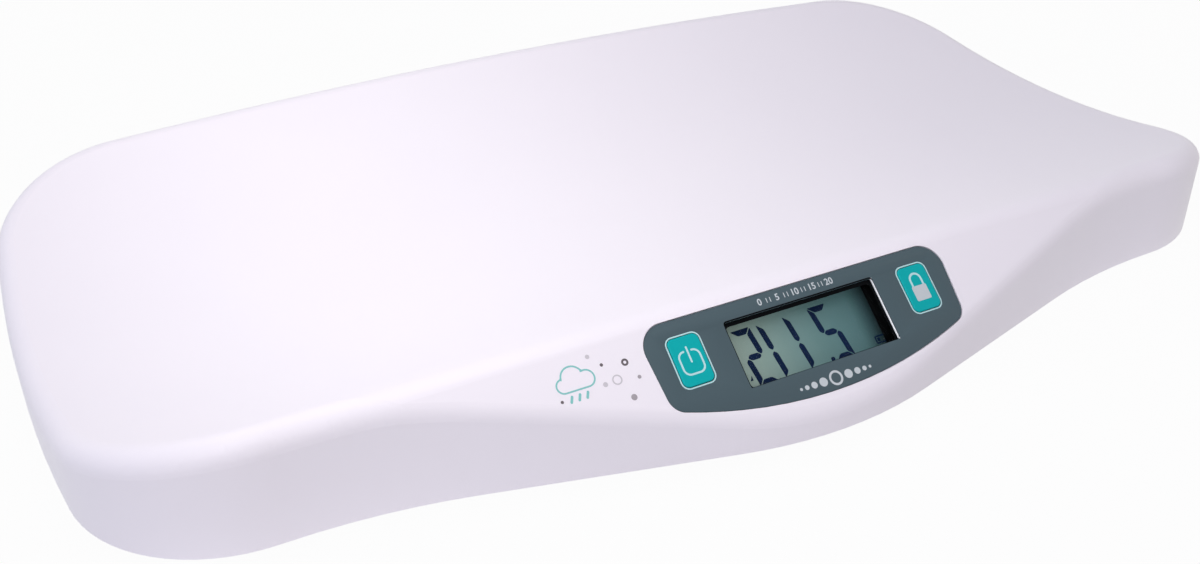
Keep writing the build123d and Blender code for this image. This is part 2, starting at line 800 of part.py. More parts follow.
    # Unit key's hole and the posts of its board.
    with BuildSketch(Plane.XY.offset(base_z)):
        with Locations(*unit_posts):
            Circle(unit_post_radius)
    extrude(amount=unit_board_z - base_z)
    with BuildSketch(Plane.XY.offset(unit_board_z)):
        with Locations(*unit_posts):
            Circle(small_screw_radius + screw_pilot_gap)
    extrude(amount=-(small_screw_bite + small_pilot_spare), mode=Mode.SUBTRACT)
    with BuildSketch(Plane.XY.offset(base_z)):
        with Locations((unit_x, unit_y)):
            Circle(unit_radius + unit_gap)
    extrude(amount=base_floor, mode=Mode.SUBTRACT)
save(base_shell, "base_shell")


with BuildPart() as rating_label:
    with BuildSketch(Plane.XY.offset(base_z - label_thickness)):
        with Locations((label_x, label_y)):
            RectangleRounded(label_width, label_height, label_corner)
    extrude(amount=label_thickness)
save(rating_label, "rating_label")


# ---- Battery door, batteries and contacts -----------------------------------------------------
door_front_y = battery_y - door_length / 2
with BuildPart() as battery_door:
    with BuildSketch(Plane.XY.offset(door_z)) as door_plan:
        with Locations((0, (door_front_y + hinge_y) / 2)):
            Rectangle(door_width, hinge_y - door_front_y)
        fillet(door_plan.vertices().group_by(Axis.Y)[0], radius=door_corner)
    extrude(amount=door_thickness)
    with BuildSketch(Plane.YZ):
        with Locations((hinge_y, hinge_z)):
            Circle(door_thickness / 2)
    extrude(amount=door_width / 2, both=True)
    with BuildSketch(Plane.YZ):
        with Locations((hinge_y, hinge_z)):
            Circle(hinge_pin_radius)
    extrude(amount=door_width / 2 + hinge_pin_length, both=True)
    with BuildSketch(Plane.XY.offset(door_z + door_thickness)):
        with Locations((0, latch_y)):
            Rectangle(latch_width, latch_thickness)
    extrude(amount=latch_height)
    fillet(battery_door.edges().group_by(Axis.Z)[-1].filter_by(Axis.X), radius=latch_edge)
    # Thumb grip: a shallow hollow by the free edge.
    with BuildSketch(Plane.XY.offset(door_z)):
        with Locations((0, door_front_y)):
            Circle(notch_radius)
    extrude(amount=thumb_depth, mode=Mode.SUBTRACT)
save(battery_door, "battery_door")

bay_front_y = battery_y - bay_length / 2
bay_back_y = battery_y + bay_length / 2


def battery(x, towards):
    """One cell along Y; its nub points to the front for towards -1, to the back for +1."""
    end_y = bay_front_y if towards < 0 else bay_back_y
    nub_tip = Plane((x, end_y - towards * contact_thickness, battery_z), z_dir=(0, -towards, 0))
    with BuildPart() as cell:
        with BuildSketch(nub_tip):
            Circle(nub_radius)
        extrude(amount=nub_height)
        with BuildSketch(nub_tip.offset(nub_height)):
            Circle(battery_radius)
        extrude(amount=battery_body)
        rims = cell.edges().filter_by(lambda edge: abs(edge.length - 2 * math.pi * battery_radius) < near)
        fillet(rims, radius=battery_edge)
    return cell


nub_sides = [-1 if index % 2 == 0 else 1 for index in range(battery_count)]
for index, x in enumerate(battery_xs):
    save(battery(x, nub_sides[index]), f"battery_{index + 1}")

spring_length = bay_length - 2 * contact_thickness - battery_body - nub_height
coil_length = spring_length - 2 * (spring_wire + spring_seat)
with BuildPart() as battery_springs:
    for x, nub_side in zip(battery_xs, nub_sides):
        wall_y = bay_back_y if nub_side < 0 else bay_front_y
        seat = (x, wall_y + nub_side * (contact_thickness + spring_wire + spring_seat), battery_z)
        with BuildLine():
            coil = Helix(spring_pitch, coil_length, spring_radius, center=seat, direction=(0, nub_side, 0))
        with BuildSketch(Plane(coil @ 0, z_dir=coil % 0)):
            Circle(spring_wire)
        sweep(path=coil)
save(battery_springs, "battery_springs")

single_front = [battery_xs[0], battery_xs[-1]]
double_front = [(battery_xs[1] + battery_xs[2]) / 2]
double_back = [(battery_xs[0] + battery_xs[1]) / 2, (battery_xs[2] + battery_xs[3]) / 2]
double_width = contact_width + battery_pitch
with BuildPart() as battery_contacts:
    with BuildSketch(Plane((0, bay_front_y, battery_z), x_dir=(1, 0, 0), z_dir=(0, -1, 0))):
        with Locations(*[(x, 0) for x in single_front]):
            Rectangle(contact_width, contact_height)
        with Locations(*[(x, 0) for x in double_front]):
            Rectangle(double_width, contact_height)
    extrude(amount=-contact_thickness)
    with BuildSketch(Plane((0, bay_back_y, battery_z), x_dir=(1, 0, 0), z_dir=(0, -1, 0))):
        with Locations(*[(x, 0) for x in double_back]):
            Rectangle(double_width, contact_height)
    extrude(amount=contact_thickness)
    with BuildSketch(Plane.XY.offset(tab_z - contact_thickness / 2)):
        with Locations(*[(x, bay_front_y - tab_length / 2) for x in single_front]):
            Rectangle(tab_width, tab_length)
    extrude(amount=contact_thickness)
save(battery_contacts, "battery_contacts")


# ---- Load cells, clamps and feet -----------------------------------------------------------------
def load_cell(place):
    """Flat steel cell: a frame on two rails, with a tongue that the foot presses up."""
    with BuildPart() as cell:
        with BuildSketch(Plane.XY.offset(cell_z)):
            with Locations(place):
                RectangleRounded(cell_size, cell_size, cell_corner)
                slot_x = (tongue_width + slot_width) / 2
                for sx in sides:
                    with Locations((sx * slot_x, 0)):
                        Rectangle(slot_width, tongue_length, mode=Mode.SUBTRACT)
                with Locations((0, (tongue_length - slot_width) / 2)):
                    Rectangle(tongue_width + 2 * slot_width, slot_width, mode=Mode.SUBTRACT)
                Circle(pin_radius + pin_gap, mode=Mode.SUBTRACT)
        extrude(amount=cell_thickness)
    return cell


def foot_cup(place):
    """Foot with a seat for its pad, a hollow round its stem and a load pin."""
    pad_top = pad_height
    with BuildPart() as foot:
        with BuildSketch(Plane.XY.offset(pad_top - pad_seat)):
            with Locations(place):
                Circle(foot_radius)
        extrude(amount=well_z - foot_headroom - pad_top + pad_seat)
        fillet(foot.edges().group_by(Axis.Z)[0], radius=foot_shell / 2)
        with BuildSketch(Plane.XY.offset(well_z - foot_headroom)):
            with Locations(place):
                Circle(foot_radius - foot_shell)
                Circle(foot_stem_radius, mode=Mode.SUBTRACT)
        extrude(amount=-foot_groove, mode=Mode.SUBTRACT)
        with BuildSketch(Plane.XY.offset(pad_top - pad_seat)):
            with Locations(place):
                Circle(pad_radius + pad_gap)
        extrude(amount=pad_seat, mode=Mode.SUBTRACT)
        with BuildSketch(Plane.XY.offset(pad_top)):
            with Locations(place):
                Circle(foot_stem_radius)
        extrude(amount=cell_z - pad_top)
        with BuildSketch(Plane.XY.offset(cell_z)):
            with Locations(place):
                Circle(pin_radius)
        extrude(amount=cell_thickness + pin_rise)
        with BuildSketch(Plane.XY.offset(cell_top_z + foot_travel + clip_slack)):
            with Locations(place):
                Circle(pin_radius)
                Circle(pin_radius - clip_groove, mode=Mode.SUBTRACT)
        extrude(amount=clip_thickness, mode=Mode.SUBTRACT)
    return foot


def foot_pad(place):
    """Rubber pad under a foot."""
    with BuildPart() as pad:
        with BuildSketch():
            with Locations(place):
                Circle(pad_radius)
        extrude(amount=pad_height)
        fillet(pad.edges().group_by(Axis.Z)[0], radius=pad_seat)
    return pad


def foot_clip(place):
    """Open ring in the groove of the load pin that keeps the foot on its cell."""
    with BuildPart() as clip:
        with BuildSketch(Plane.XY.offset(cell_top_z + foot_travel + clip_slack)):
            with Locations(place):
                Circle(clip_radius)
                Circle(pin_radius - clip_groove, mode=Mode.SUBTRACT)
                with Locations((0, clip_radius)):
                    Rectangle(pin_radius, 2 * clip_radius, mode=Mode.SUBTRACT)
        extrude(amount=clip_thickness)
    return clip


for name, place in feet.items():
    save(load_cell(place), f"load_cell_{name}")
    save(foot_cup(place), f"foot_cup_{name}")
    save(foot_pad(place), f"foot_pad_{name}")
    save(foot_clip(place), f"foot_clip_{name}")

with BuildPart() as strain_gauges:
    with BuildSketch(Plane.XY.offset(cell_top_z)):
        with Locations(*feet.values()):
            with Locations((0, gauge_y)):
                Rectangle(gauge_width, gauge_length)
    extrude(amount=gauge_thickness)
save(strain_gauges, "strain_gauges")

with BuildPart() as cell_clamps:
    with BuildSketch(Plane.XY.offset(cell_top_z)):
        with Locations(*feet.values()):
            with Locations((-clamp_x, 0), (clamp_x, 0)):
                RectangleRounded(clamp_width, 2 * (clamp_y + clamp_post_radius), clamp_corner)
            with Locations(*clamp_places):
                Circle(small_screw_radius + small_hole_gap, mode=Mode.SUBTRACT)
    extrude(amount=clamp_thickness)
save(cell_clamps, "cell_clamps")


# ---- Screws ---------------------------------------------------------------------------------------
def screws(plane, places, head, head_height, shank, shank_length):
    """Cross-head screws whose heads stand on the plane and whose shanks go below it."""
    with BuildPart() as group:
        with BuildSketch(plane):
            with Locations(*places):
                Circle(head)
        extrude(amount=head_height)
        with BuildSketch(plane):
            with Locations(*places):
                Circle(shank)
        extrude(amount=-shank_length)
        with BuildSketch(plane.offset(head_height)):
            with Locations(*places):
                Rectangle(cross_span * head, cross_width)
                Rectangle(cross_width, cross_span * head)
        extrude(amount=-cross_depth * head_height, mode=Mode.SUBTRACT)
    return group


facing_down = Plane((0, 0, screw_seat_z), x_dir=(1, 0, 0), z_dir=(0, 0, -1))
case_screw_length = screw_top_z - screw_seat_z
flipped = [(x, -y) for x, y in case_screw_places]
save(
    screws(facing_down, flipped, screw_head_radius, screw_head_height, screw_radius, case_screw_length),
    "case_screws",
)
save(
    screws(
        back_of_board,
        [back_place(post) for post in posts],
        small_head_radius,
        small_head_height,
        small_screw_radius,
        board_thickness + small_screw_bite,
    ),
    "board_screws",
)
clamp_screw_places = [(x + dx, y + dy) for x, y in feet.values() for dx, dy in clamp_places]
save(
    screws(
        Plane.XY.offset(cell_top_z + clamp_thickness),
        clamp_screw_places,
        small_head_radius,
        small_head_height,
        small_screw_radius,
        small_screw_bite,
    ),
    "clamp_screws",
)
save(
    screws(
        Plane.XY.offset(unit_board_z + board_thickness),
        unit_posts,
        small_head_radius,
        small_head_height,
        small_screw_radius,
        board_thickness + small_screw_bite,
    ),
    "unit_board_screws",
)


# ---- Leads ------------------------------------------------------------------------------------------
def lead(name, points):
    """Flexible lead: straight runs joined by arcs as large as the runs allow."""
    route_points = [Vector(point) for point in points]
    radii = []
    for before, corner, after in zip(route_points, route_points[1:], route_points[2:]):
        turn = math.radians((corner - before).get_angle(after - corner))
        shorter = min((corner - before).length, (after - corner).length)
        radii.append(arc_share * shorter / math.tan(turn / 2))
    print(name, "bend radii", [round(radius, 1) for radius in radii])
    with BuildPart() as cable:
        with BuildLine() as route:
            FilletPolyline(*route_points, radius=radii)
        start = route.wires()[0]
        with BuildSketch(Plane(start @ 0, z_dir=start % 0)):
            Circle(lead_radius)
        sweep(path=start)
    section = math.pi * lead_radius**2
    print(name, "volume over section times length", round(cable.part.volume / (section * start.length), 4))
    return cable


def board_end(side, pad):
    """Last two points of a lead: short of its pad on the board's back, and on it."""
    u, v, approach = pad
    near = deck.from_local_coords(Vector(side * u, v, -(board_back + approach)))
    on = deck.from_local_coords(Vector(side * u, v, -board_back))
    return [near, on]


def lead_way(start_x, start_y, goal_x, way):
    """Points over the base from a lead's start towards its pad."""
    return [(start_x + (goal_x - start_x) * sx, start_y + (panel_y - start_y) * sy, lead_z) for sx, sy in way]


def cell_route(side, y, way, pad):
    """From a load cell's gauge, off its edge and over the base to the board."""
    x = side * foot_x
    gauge_top = cell_top_z + gauge_thickness + lead_radius + lead_gap
    gauge_edge = y + gauge_y - gauge_length / 2
    return [
        (x, y + gauge_y, gauge_top),
        (x - side * gauge_drift, gauge_edge - gauge_run, gauge_top + gauge_rise),
        *lead_way(x, y, side * pad[0], way),
        *board_end(side, pad),
    ]


for side, side_name in ((-1, "left"), (1, "right")):
    front_route = cell_route(side, foot_front_y, front_cell_way, front_cell_pad)
    back_route = cell_route(side, foot_back_y, back_cell_way, back_cell_pad)
    save(lead(f"front {side_name}", front_route), f"cell_lead_front_{side_name}")
    save(lead(f"back {side_name}", back_route), f"cell_lead_back_{side_name}")

tab_end_y = bay_front_y - tab_length
battery_leads = {"red": (battery_xs[0], red_pad), "black": (battery_xs[-1], black_pad)}
for colour, (tab_x, pad) in battery_leads.items():
    route = [
        (tab_x, tab_end_y, tab_z),
        (tab_x, tab_end_y - tab_run, tab_z),
        *lead_way(tab_x, tab_end_y, pad[0], battery_way),
        *board_end(1, pad),
    ]
    save(lead(f"battery {colour}", route), f"battery_lead_{colour}")

unit_wire_x = unit_x - unit_lead_x
unit_wire_z = unit_board_z + board_thickness / 2
unit_route = [
    (unit_wire_x, unit_y - unit_board_depth / 2, unit_wire_z),
    (unit_wire_x, unit_y - unit_board_depth / 2 - tab_run, unit_wire_z),
    *lead_way(unit_wire_x, unit_y, unit_pad[0], unit_way),
    *board_end(1, unit_pad),
]
save(lead("unit", unit_route), "unit_lead")
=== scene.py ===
import math

import bmesh
import bpy
from mathutils import Matrix, Vector


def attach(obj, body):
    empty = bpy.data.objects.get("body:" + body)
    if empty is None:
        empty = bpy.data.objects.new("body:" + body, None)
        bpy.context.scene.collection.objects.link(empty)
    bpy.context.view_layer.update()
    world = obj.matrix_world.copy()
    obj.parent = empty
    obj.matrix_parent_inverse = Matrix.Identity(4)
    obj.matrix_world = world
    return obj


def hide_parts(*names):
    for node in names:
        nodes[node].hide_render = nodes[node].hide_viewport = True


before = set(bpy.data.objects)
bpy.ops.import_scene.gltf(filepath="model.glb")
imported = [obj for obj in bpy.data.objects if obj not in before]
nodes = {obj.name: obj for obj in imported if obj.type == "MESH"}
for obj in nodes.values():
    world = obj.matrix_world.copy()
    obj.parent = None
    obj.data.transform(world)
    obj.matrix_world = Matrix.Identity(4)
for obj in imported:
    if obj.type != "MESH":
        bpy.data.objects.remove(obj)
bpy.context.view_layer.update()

# Digital baby weighing scale: looks of its mouldings, display, keys, batteries, feet and
# leads.  Lengths are millimetres, and mm turns them to Blender's metres.  The camera, the
# lights and the floor's extent, at the end, are in metres.
mm = 0.001
scene = bpy.context.scene
carcass = "scale_body"

# The apron's frame: u runs along the tray, v up the slope, and height stands out of it.
apron_y = -135.7
apron_z = 38.3
apron_slope = 39.1
apron_tilt = Matrix.Rotation(math.radians(apron_slope), 4, "X")
deck = Matrix.Translation(Vector((0, apron_y, apron_z)) * mm) @ apron_tilt

panel_face = -0.3            # heights above the apron's surface
window_face = -1.5
glass_face = -9.5
key_face = 0.2
ink = 0.03                   # thickness of a print
view_width = 70.0
view_height = 26.8
key_x = 54.0
key_v = 3.7
key_width = 13.4
key_height = 19.4
key_corner = 2.5
key_gap = 0.25

battery_y = 15.0
battery_pitch = 11.4
battery_body = 43.3
door_face = 8.25             # underside of the battery door, above the floor
door_inside = 10.25
label_face = 7.8
label_place = (-82.0, 44.0)
label_size = (62.0, 34.0)
foot_x = 210.0
foot_ys = (-84.0, 112.0)
feet_middle_y = (foot_ys[0] + foot_ys[1]) / 2
feet_apart_y = foot_ys[1] - foot_ys[0]
gauge_face = 20.1
gauge_shift = -13.0          # from the foot's middle
board_back = -15.8           # back of the main board
board_shift = 2.5            # its middle, up the slope from the display's middle

grain_detail = 3.0           # octaves of a surface's grain
relief_strength = 0.6
gloss_spread = 0.15          # share by which roughness varies over the grain
drift_scale = 9.0            # patches of tone per metre of moulding
streak_length = 0.15         # scale of a metal's streaks along X against the scale across them
streak_relief = 0.01
cell_band = 7.5              # pale band of a battery's film, from its plus end
cell_end_facing = 0.35       # share of the normal along the cell beyond which the can is bare


# ---- Small tools -----------------------------------------------------------------------
def linear(colour):
    """Linear RGBA of an sRGB hex colour."""
    parts = [int(colour[i:i + 2], 16) / 255 for i in (1, 3, 5)]
    parts = [p / 12.92 if p <= 0.04045 else ((p + 0.055) / 1.055) ** 2.4 for p in parts]
    return (*parts, 1.0)


def add(tree, kind, inputs=None, **settings):
    """Add a node to a tree, set its properties and give its inputs values or links."""
    made = tree.nodes.new(kind)
    for name, value in settings.items():
        setattr(made, name, value)
    for name, value in (inputs or {}).items():
        socket = made.inputs[name]
        if isinstance(value, bpy.types.NodeSocket):
            tree.links.new(value, socket)
        else:
            socket.default_value = value
    return made


def new_material(name, colour, roughness, **sockets):
    """A material with one Principled shader, and its tree and shader."""
    material = bpy.data.materials.new(name)
    material.use_nodes = True
    tree = material.node_tree
    tree.nodes.clear()
    shader_inputs = {"Base Color": linear(colour), "Roughness": roughness}
    shader = add(tree, "ShaderNodeBsdfPrincipled", shader_inputs)
    for socket, value in sockets.items():
        shader.inputs[socket.replace("_", " ")].default_value = value
    add(tree, "ShaderNodeOutputMaterial", {"Surface": shader.outputs[0]})
    return material, tree, shader


def skin(tree, shader, place, grain, relief, roughness):
    """Relief and uneven gloss from one grain over a surface."""
    grain_inputs = {"Vector": place, "Scale": 1 / (grain * mm), "Detail": grain_detail}
    noise = add(tree, "ShaderNodeTexNoise", grain_inputs)
    height = noise.outputs["Fac"]
    relief_inputs = {"Height": height, "Strength": relief_strength, "Distance": relief * mm}
    bump = add(tree, "ShaderNodeBump", relief_inputs)
    tree.links.new(bump.outputs[0], shader.inputs["Normal"])
    low, high = roughness * (1 - gloss_spread), roughness * (1 + gloss_spread)
    gloss = add(tree, "ShaderNodeMapRange", {"Value": height, "To Min": low, "To Max": high})
    tree.links.new(gloss.outputs[0], shader.inputs["Roughness"])
    return noise


def tinted(tree, shader, factor, *colours):
    """Base colour that blends through colours as a factor goes from 0 to 1."""
    ramp = add(tree, "ShaderNodeValToRGB", {"Fac": factor})
    stops = ramp.color_ramp.elements
    while len(stops) < len(colours):
        stops.new(0.5)
    for index, colour in enumerate(colours):
        stops[index].position = index / (len(colours) - 1)
        stops[index].color = linear(colour)
    tree.links.new(ramp.outputs["Color"], shader.inputs["Base Color"])
    return ramp.outputs["Color"]


def moulded(name, colour, tone, roughness, grain, relief, **sockets):
    """Plastic, rubber, ink or film: a grain in relief and a slow drift between two tones."""
    material, tree, shader = new_material(name, colour, roughness, **sockets)
    place = add(tree, "ShaderNodeTexCoord").outputs["Object"]
    skin(tree, shader, place, grain, relief, roughness)
    drift_inputs = {"Vector": place, "Scale": drift_scale, "Detail": 2.0}
    drift = add(tree, "ShaderNodeTexNoise", drift_inputs)
    tinted(tree, shader, drift.outputs["Fac"], colour, tone)
    return material


def metal(name, colour, tone, roughness, streak, **sockets):
    """Plated or rolled metal: fine streaks along X, a few times longer than wide."""
    material, tree, shader = new_material(name, colour, roughness, Metallic=1.0, **sockets)
    place = add(tree, "ShaderNodeTexCoord").outputs["Object"]
    drawn = add(tree, "ShaderNodeMapping", {"Vector": place, "Scale": (streak_length, 1.0, 1.0)})
    noise = skin(tree, shader, drawn.outputs[0], streak, streak_relief, roughness)
    tinted(tree, shader, noise.outputs["Fac"], tone, colour)
    return material


def battery_finish(name, plus_end):
    """Shrink film on a steel can: bare ends, and a pale band round the plus end."""
    roughness = 0.35
    material, tree, shader = new_material(name, "#44505e", roughness)
    place = add(tree, "ShaderNodeTexCoord").outputs["Object"]
    skin(tree, shader, place, 0.6, 0.006, roughness)
    along = add(tree, "ShaderNodeSeparateXYZ", {"Vector": place}).outputs["Y"]
    from_plus = add(tree, "ShaderNodeMath", {0: along, 1: plus_end * mm}, operation="SUBTRACT")
    distance = add(tree, "ShaderNodeMath", {0: from_plus.outputs[0]}, operation="ABSOLUTE")
    band_inputs = {0: distance.outputs[0], 1: cell_band * mm}
    band = add(tree, "ShaderNodeMath", band_inputs, operation="LESS_THAN")
    facing = add(tree, "ShaderNodeNewGeometry").outputs["Normal"]
    square_on = add(tree, "ShaderNodeSeparateXYZ", {"Vector": facing}).outputs["Y"]
    end_on = add(tree, "ShaderNodeMath", {0: square_on}, operation="ABSOLUTE")
    bare_inputs = {0: end_on.outputs[0], 1: cell_end_facing}
    bare = add(tree, "ShaderNodeMath", bare_inputs, operation="GREATER_THAN")
    film = add(
        tree,
        "ShaderNodeMix",
        {"Factor": band.outputs[0], 6: linear("#3f4c5b"), 7: linear("#c7ced4")},
        data_type="RGBA",
    )
    coat = add(
        tree,
        "ShaderNodeMix",
        {"Factor": bare.outputs[0], 6: film.outputs[2], 7: linear("#b9babc")},
        data_type="RGBA",
    )
    tree.links.new(coat.outputs[2], shader.inputs["Base Color"])
    tree.links.new(bare.outputs[0], shader.inputs["Metallic"])
    return material


# ---- Materials -------------------------------------------------------------------------
# ABS from a polished mould: satin, with orange peel too shallow to see except in highlights.
tray_white = moulded("satin_white_abs", "#faf6fd", "#f6f2fa", 0.38, 4.0, 0.012)
# ABS from a spark-eroded mould: an even matt grain of half a millimetre.
base_white = moulded("textured_white_abs", "#eceaf0", "#e5e3ea", 0.5, 0.5, 0.05)
foot_white = moulded("white_foot_abs", "#dedee4", "#d6d6dd", 0.45, 0.5, 0.04)
# Reflectance of surfaces that shine less than bare plastic.
velvet = {"Specular_IOR_Level": 0.25}
low_gloss = {"Specular_IOR_Level": 0.1}
no_gloss = {"Specular_IOR_Level": 0.05}
# Polycarbonate sheet printed slate grey, with a velvet hard coat.
slate = moulded("slate_printed_polycarbonate", "#475960", "#4b5e65", 0.42, 0.25, 0.01, **velvet)
# Cut edge of that sheet: white with a faint glow, a painted highlight where the edge would gather
# light from its faces.
painted_edge_glow = {"Emission_Color": linear("#eef4ff"), "Emission_Strength": 0.2}
painted_highlight_edge = moulded("cut_polycarbonate_edge_painted_highlight", "#ffffff", "#f6fafc", 0.2, 0.25, 0.01, **painted_edge_glow)
teal = moulded("teal_moulded_abs", "#00b2b4", "#00acae", 0.42, 0.25, 0.01, Specular_IOR_Level=0.15)
black_abs = moulded("black_abs", "#030406", "#050608", 0.7, 0.4, 0.02, **no_gloss)
switch_black = moulded("black_glass_filled_nylon", "#121214", "#18181a", 0.5, 0.3, 0.02)
plunger_brown = moulded("brown_nylon", "#5a3a24", "#4f3320", 0.5, 0.3, 0.02)
# Screen inks: matt, slightly uneven over the grain of what they lie on.
pale_ink = moulded("pale_cyan_screen_ink", "#c4e8ea", "#b9e2e5", 0.5, 0.3, 0.008)
grey_ink = moulded("light_grey_screen_ink", "#ccd4d8", "#c4cdd2", 0.5, 0.3, 0.008)
teal_ink = moulded("teal_screen_ink", "#7cc4c1", "#8accc9", 0.5, 0.3, 0.008)
dark_ink = moulded("dark_grey_screen_ink", "#5b5358", "#655d62", 0.5, 0.3, 0.008)
mid_ink = moulded("mid_grey_screen_ink", "#a39da3", "#aba5ab", 0.5, 0.3, 0.008)
soft_ink = moulded("soft_grey_screen_ink", "#cbc7ce", "#d1cdd4", 0.5, 0.3, 0.008)
black_ink = moulded("black_screen_ink", "#020406", "#040609", 0.6, 0.3, 0.008, **no_gloss)
segment_ink = moulded("dark_lcd_segments", "#051c3f", "#072247", 0.5, 0.3, 0.004, **low_gloss)
zinc = metal("zinc_plated_steel", "#c6c7cb", "#b2b4b9", 0.3, 0.25)
spring_steel = metal("rolled_spring_steel", "#a9abae", "#97999d", 0.32, 0.2)
nickel = metal("nickel_plated_steel", "#cfc9bd", "#bdb7ab", 0.25, 0.2)
aluminium = metal("brushed_aluminium_can", "#bfc2c6", "#aeb1b5", 0.35, 0.2)
tin = moulded("solder", "#c8cacc", "#b9bbbe", 0.3, 0.4, 0.03, Metallic=1.0)
gauge_foil = moulded("amber_polyimide_film", "#b8722a", "#a96523", 0.35, 0.3, 0.006)
gauge_grid = moulded("constantan_foil", "#d9a878", "#c9966a", 0.35, 0.2, 0.004, Metallic=1.0)
# Glass-epoxy boards under green solder mask, and the copper that shows through it.
mask_green = moulded("green_solder_mask", "#1c6a3e", "#185c36", 0.35, 0.5, 0.01)
mask_copper = moulded("copper_under_solder_mask", "#3f8a52", "#387d4a", 0.33, 0.4, 0.01)
epoxy = moulded("black_epoxy", "#101012", "#161618", 0.4, 0.8, 0.03)
resistor_black = moulded("thick_film_resistor", "#17171a", "#202024", 0.4, 0.3, 0.01)
sheath = moulded("white_pvc_sheath", "#dadad6", "#cfcfcb", 0.5, 0.5, 0.02)
red_sheath = moulded("red_pvc_sheath", "#b32020", "#a11c1c", 0.5, 0.5, 0.02)
black_sheath = moulded("black_pvc_sheath", "#141416", "#1b1b1e", 0.5, 0.5, 0.02)
label_film = moulded("silver_grey_paper", "#d7d9dc", "#cdd0d4", 0.55, 0.3, 0.02)
plus_front = battery_finish("steel_cell_in_film_plus_front", -8.9)
plus_back = battery_finish("steel_cell_in_film_plus_back", 38.9)

# Clear acrylic sheet, coated against glare: light goes straight through, and the faces mirror
# only at a low angle.
clear, clear_tree, clear_shader = new_material("clear_acrylic", "#ffffff", 0.05)
clear_tree.nodes.remove(clear_shader)
mirror = add(clear_tree, "ShaderNodeBsdfGlossy", {"Color": (1, 1, 1, 1), "Roughness": 0.04})
through = add(clear_tree, "ShaderNodeBsdfTransparent", {"Color": (0.97, 0.985, 0.985, 1)})
edge_on = add(clear_tree, "ShaderNodeFresnel", {"IOR": 1.06})
sheet_inputs = {0: edge_on.outputs[0], 1: through.outputs[0], 2: mirror.outputs[0]}
sheet = add(clear_tree, "ShaderNodeMixShader", sheet_inputs)
clear_tree.links.new(sheet.outputs[0], clear_tree.nodes["Material Output"].inputs["Surface"])

# Liquid crystal cell: grey-green, with a painted glow that lifts it as if lit from behind, and
# painted shade darkening it towards the right, where its frame would shade it.
lcd_gloss_and_painted_glow = {"Specular_IOR_Level": 0.2, "Emission_Strength": 0.2}
lcd_painted_shade_reach = (-31.0, 35.0)
lcd_rough = 0.35
lcd, lcd_tree, lcd_shader = new_material("liquid_crystal_cell", "#6f8a7e", lcd_rough, **lcd_gloss_and_painted_glow)
lcd_place = add(lcd_tree, "ShaderNodeTexCoord").outputs["Object"]
skin(lcd_tree, lcd_shader, lcd_place, 0.4, 0.003, lcd_rough)
lcd_across = add(lcd_tree, "ShaderNodeSeparateXYZ", {"Vector": lcd_place}).outputs["X"]
lcd_left, lcd_right = (end * mm for end in lcd_painted_shade_reach)
lcd_painted_shade_inputs = {"Value": lcd_across, "From Min": lcd_left, "From Max": lcd_right}
lcd_painted_shade = add(lcd_tree, "ShaderNodeMapRange", lcd_painted_shade_inputs)
# The greens darken towards the right and end near black: painted shade.  The same colours drive the
# painted glow.
lcd_painted_shade_greens = ("#93a39a", "#8b9f97", "#7f9792", "#728e8c", "#658483", "#5b7c7d", "#527375")
lcd_painted_shade_colours = (*lcd_painted_shade_greens, "#1c2b2f")
lcd_painted_glow = tinted(lcd_tree, lcd_shader, lcd_painted_shade.outputs[0], *lcd_painted_shade_colours)
lcd_tree.links.new(lcd_painted_glow, lcd_shader.inputs["Emission Color"])


def wave_scale(pitch):
    """Scale of a Wave Texture, which turns 20 radians a unit, for bands or rings a pitch apart."""
    return 2 * math.pi / (20 * pitch * mm)


# Zebra connector: conductive and plain silicone in turn, each a quarter of a millimetre wide.
zebra_pitch = 0.5
zebra_rough = 0.6
zebra, zebra_tree, zebra_shader = new_material("zebra_silicone", "#b98f99", zebra_rough)
zebra_place = add(zebra_tree, "ShaderNodeTexCoord").outputs["Object"]
skin(zebra_tree, zebra_shader, zebra_place, 0.4, 0.02, zebra_rough)
zebra_lines = add(
    zebra_tree,
    "ShaderNodeTexWave",
    {"Vector": zebra_place, "Scale": wave_scale(zebra_pitch)},
    bands_direction="X",
)
tinted(zebra_tree, zebra_shader, zebra_lines.outputs["Fac"], "#2c2a2c", "#c9a0a8")

# Moulded rubber tread: rings round the middle of each foot.
tread_pitch = 1.6
tread_relief = 0.4
tread_dust_grain = 3.0
tread, tread_tree, tread_shader = new_material("ringed_rubber", "#38383b", 0.8)
tread_place = add(tread_tree, "ShaderNodeTexCoord").outputs["Object"]
to_middle = (0, -feet_middle_y * mm, 0)
middle_inputs = {0: tread_place, 1: to_middle}
from_middle = add(tread_tree, "ShaderNodeVectorMath", middle_inputs, operation="ADD")
folded = add(tread_tree, "ShaderNodeVectorMath", {0: from_middle.outputs[0]}, operation="ABSOLUTE")
foot_corner = (foot_x * mm, feet_apart_y / 2 * mm, 0)
from_foot = add(
    tread_tree,
    "ShaderNodeVectorMath",
    {0: folded.outputs[0], 1: foot_corner},
    operation="SUBTRACT",
)
rings = add(
    tread_tree,
    "ShaderNodeTexWave",
    {"Vector": from_foot.outputs[0], "Scale": wave_scale(tread_pitch)},
    wave_type="RINGS",
    rings_direction="Z",
)
ring_inputs = {"Height": rings.outputs["Fac"], "Distance": tread_relief * mm}
tread_bump = add(tread_tree, "ShaderNodeBump", ring_inputs)
tread_tree.links.new(tread_bump.outputs[0], tread_shader.inputs["Normal"])
dust_inputs = {"Vector": tread_place, "Scale": 1 / (tread_dust_grain * mm), "Detail": 4.0}
tread_dust = add(tread_tree, "ShaderNodeTexNoise", dust_inputs)
tinted(tread_tree, tread_shader, tread_dust.outputs["Fac"], "#303033", "#404044")

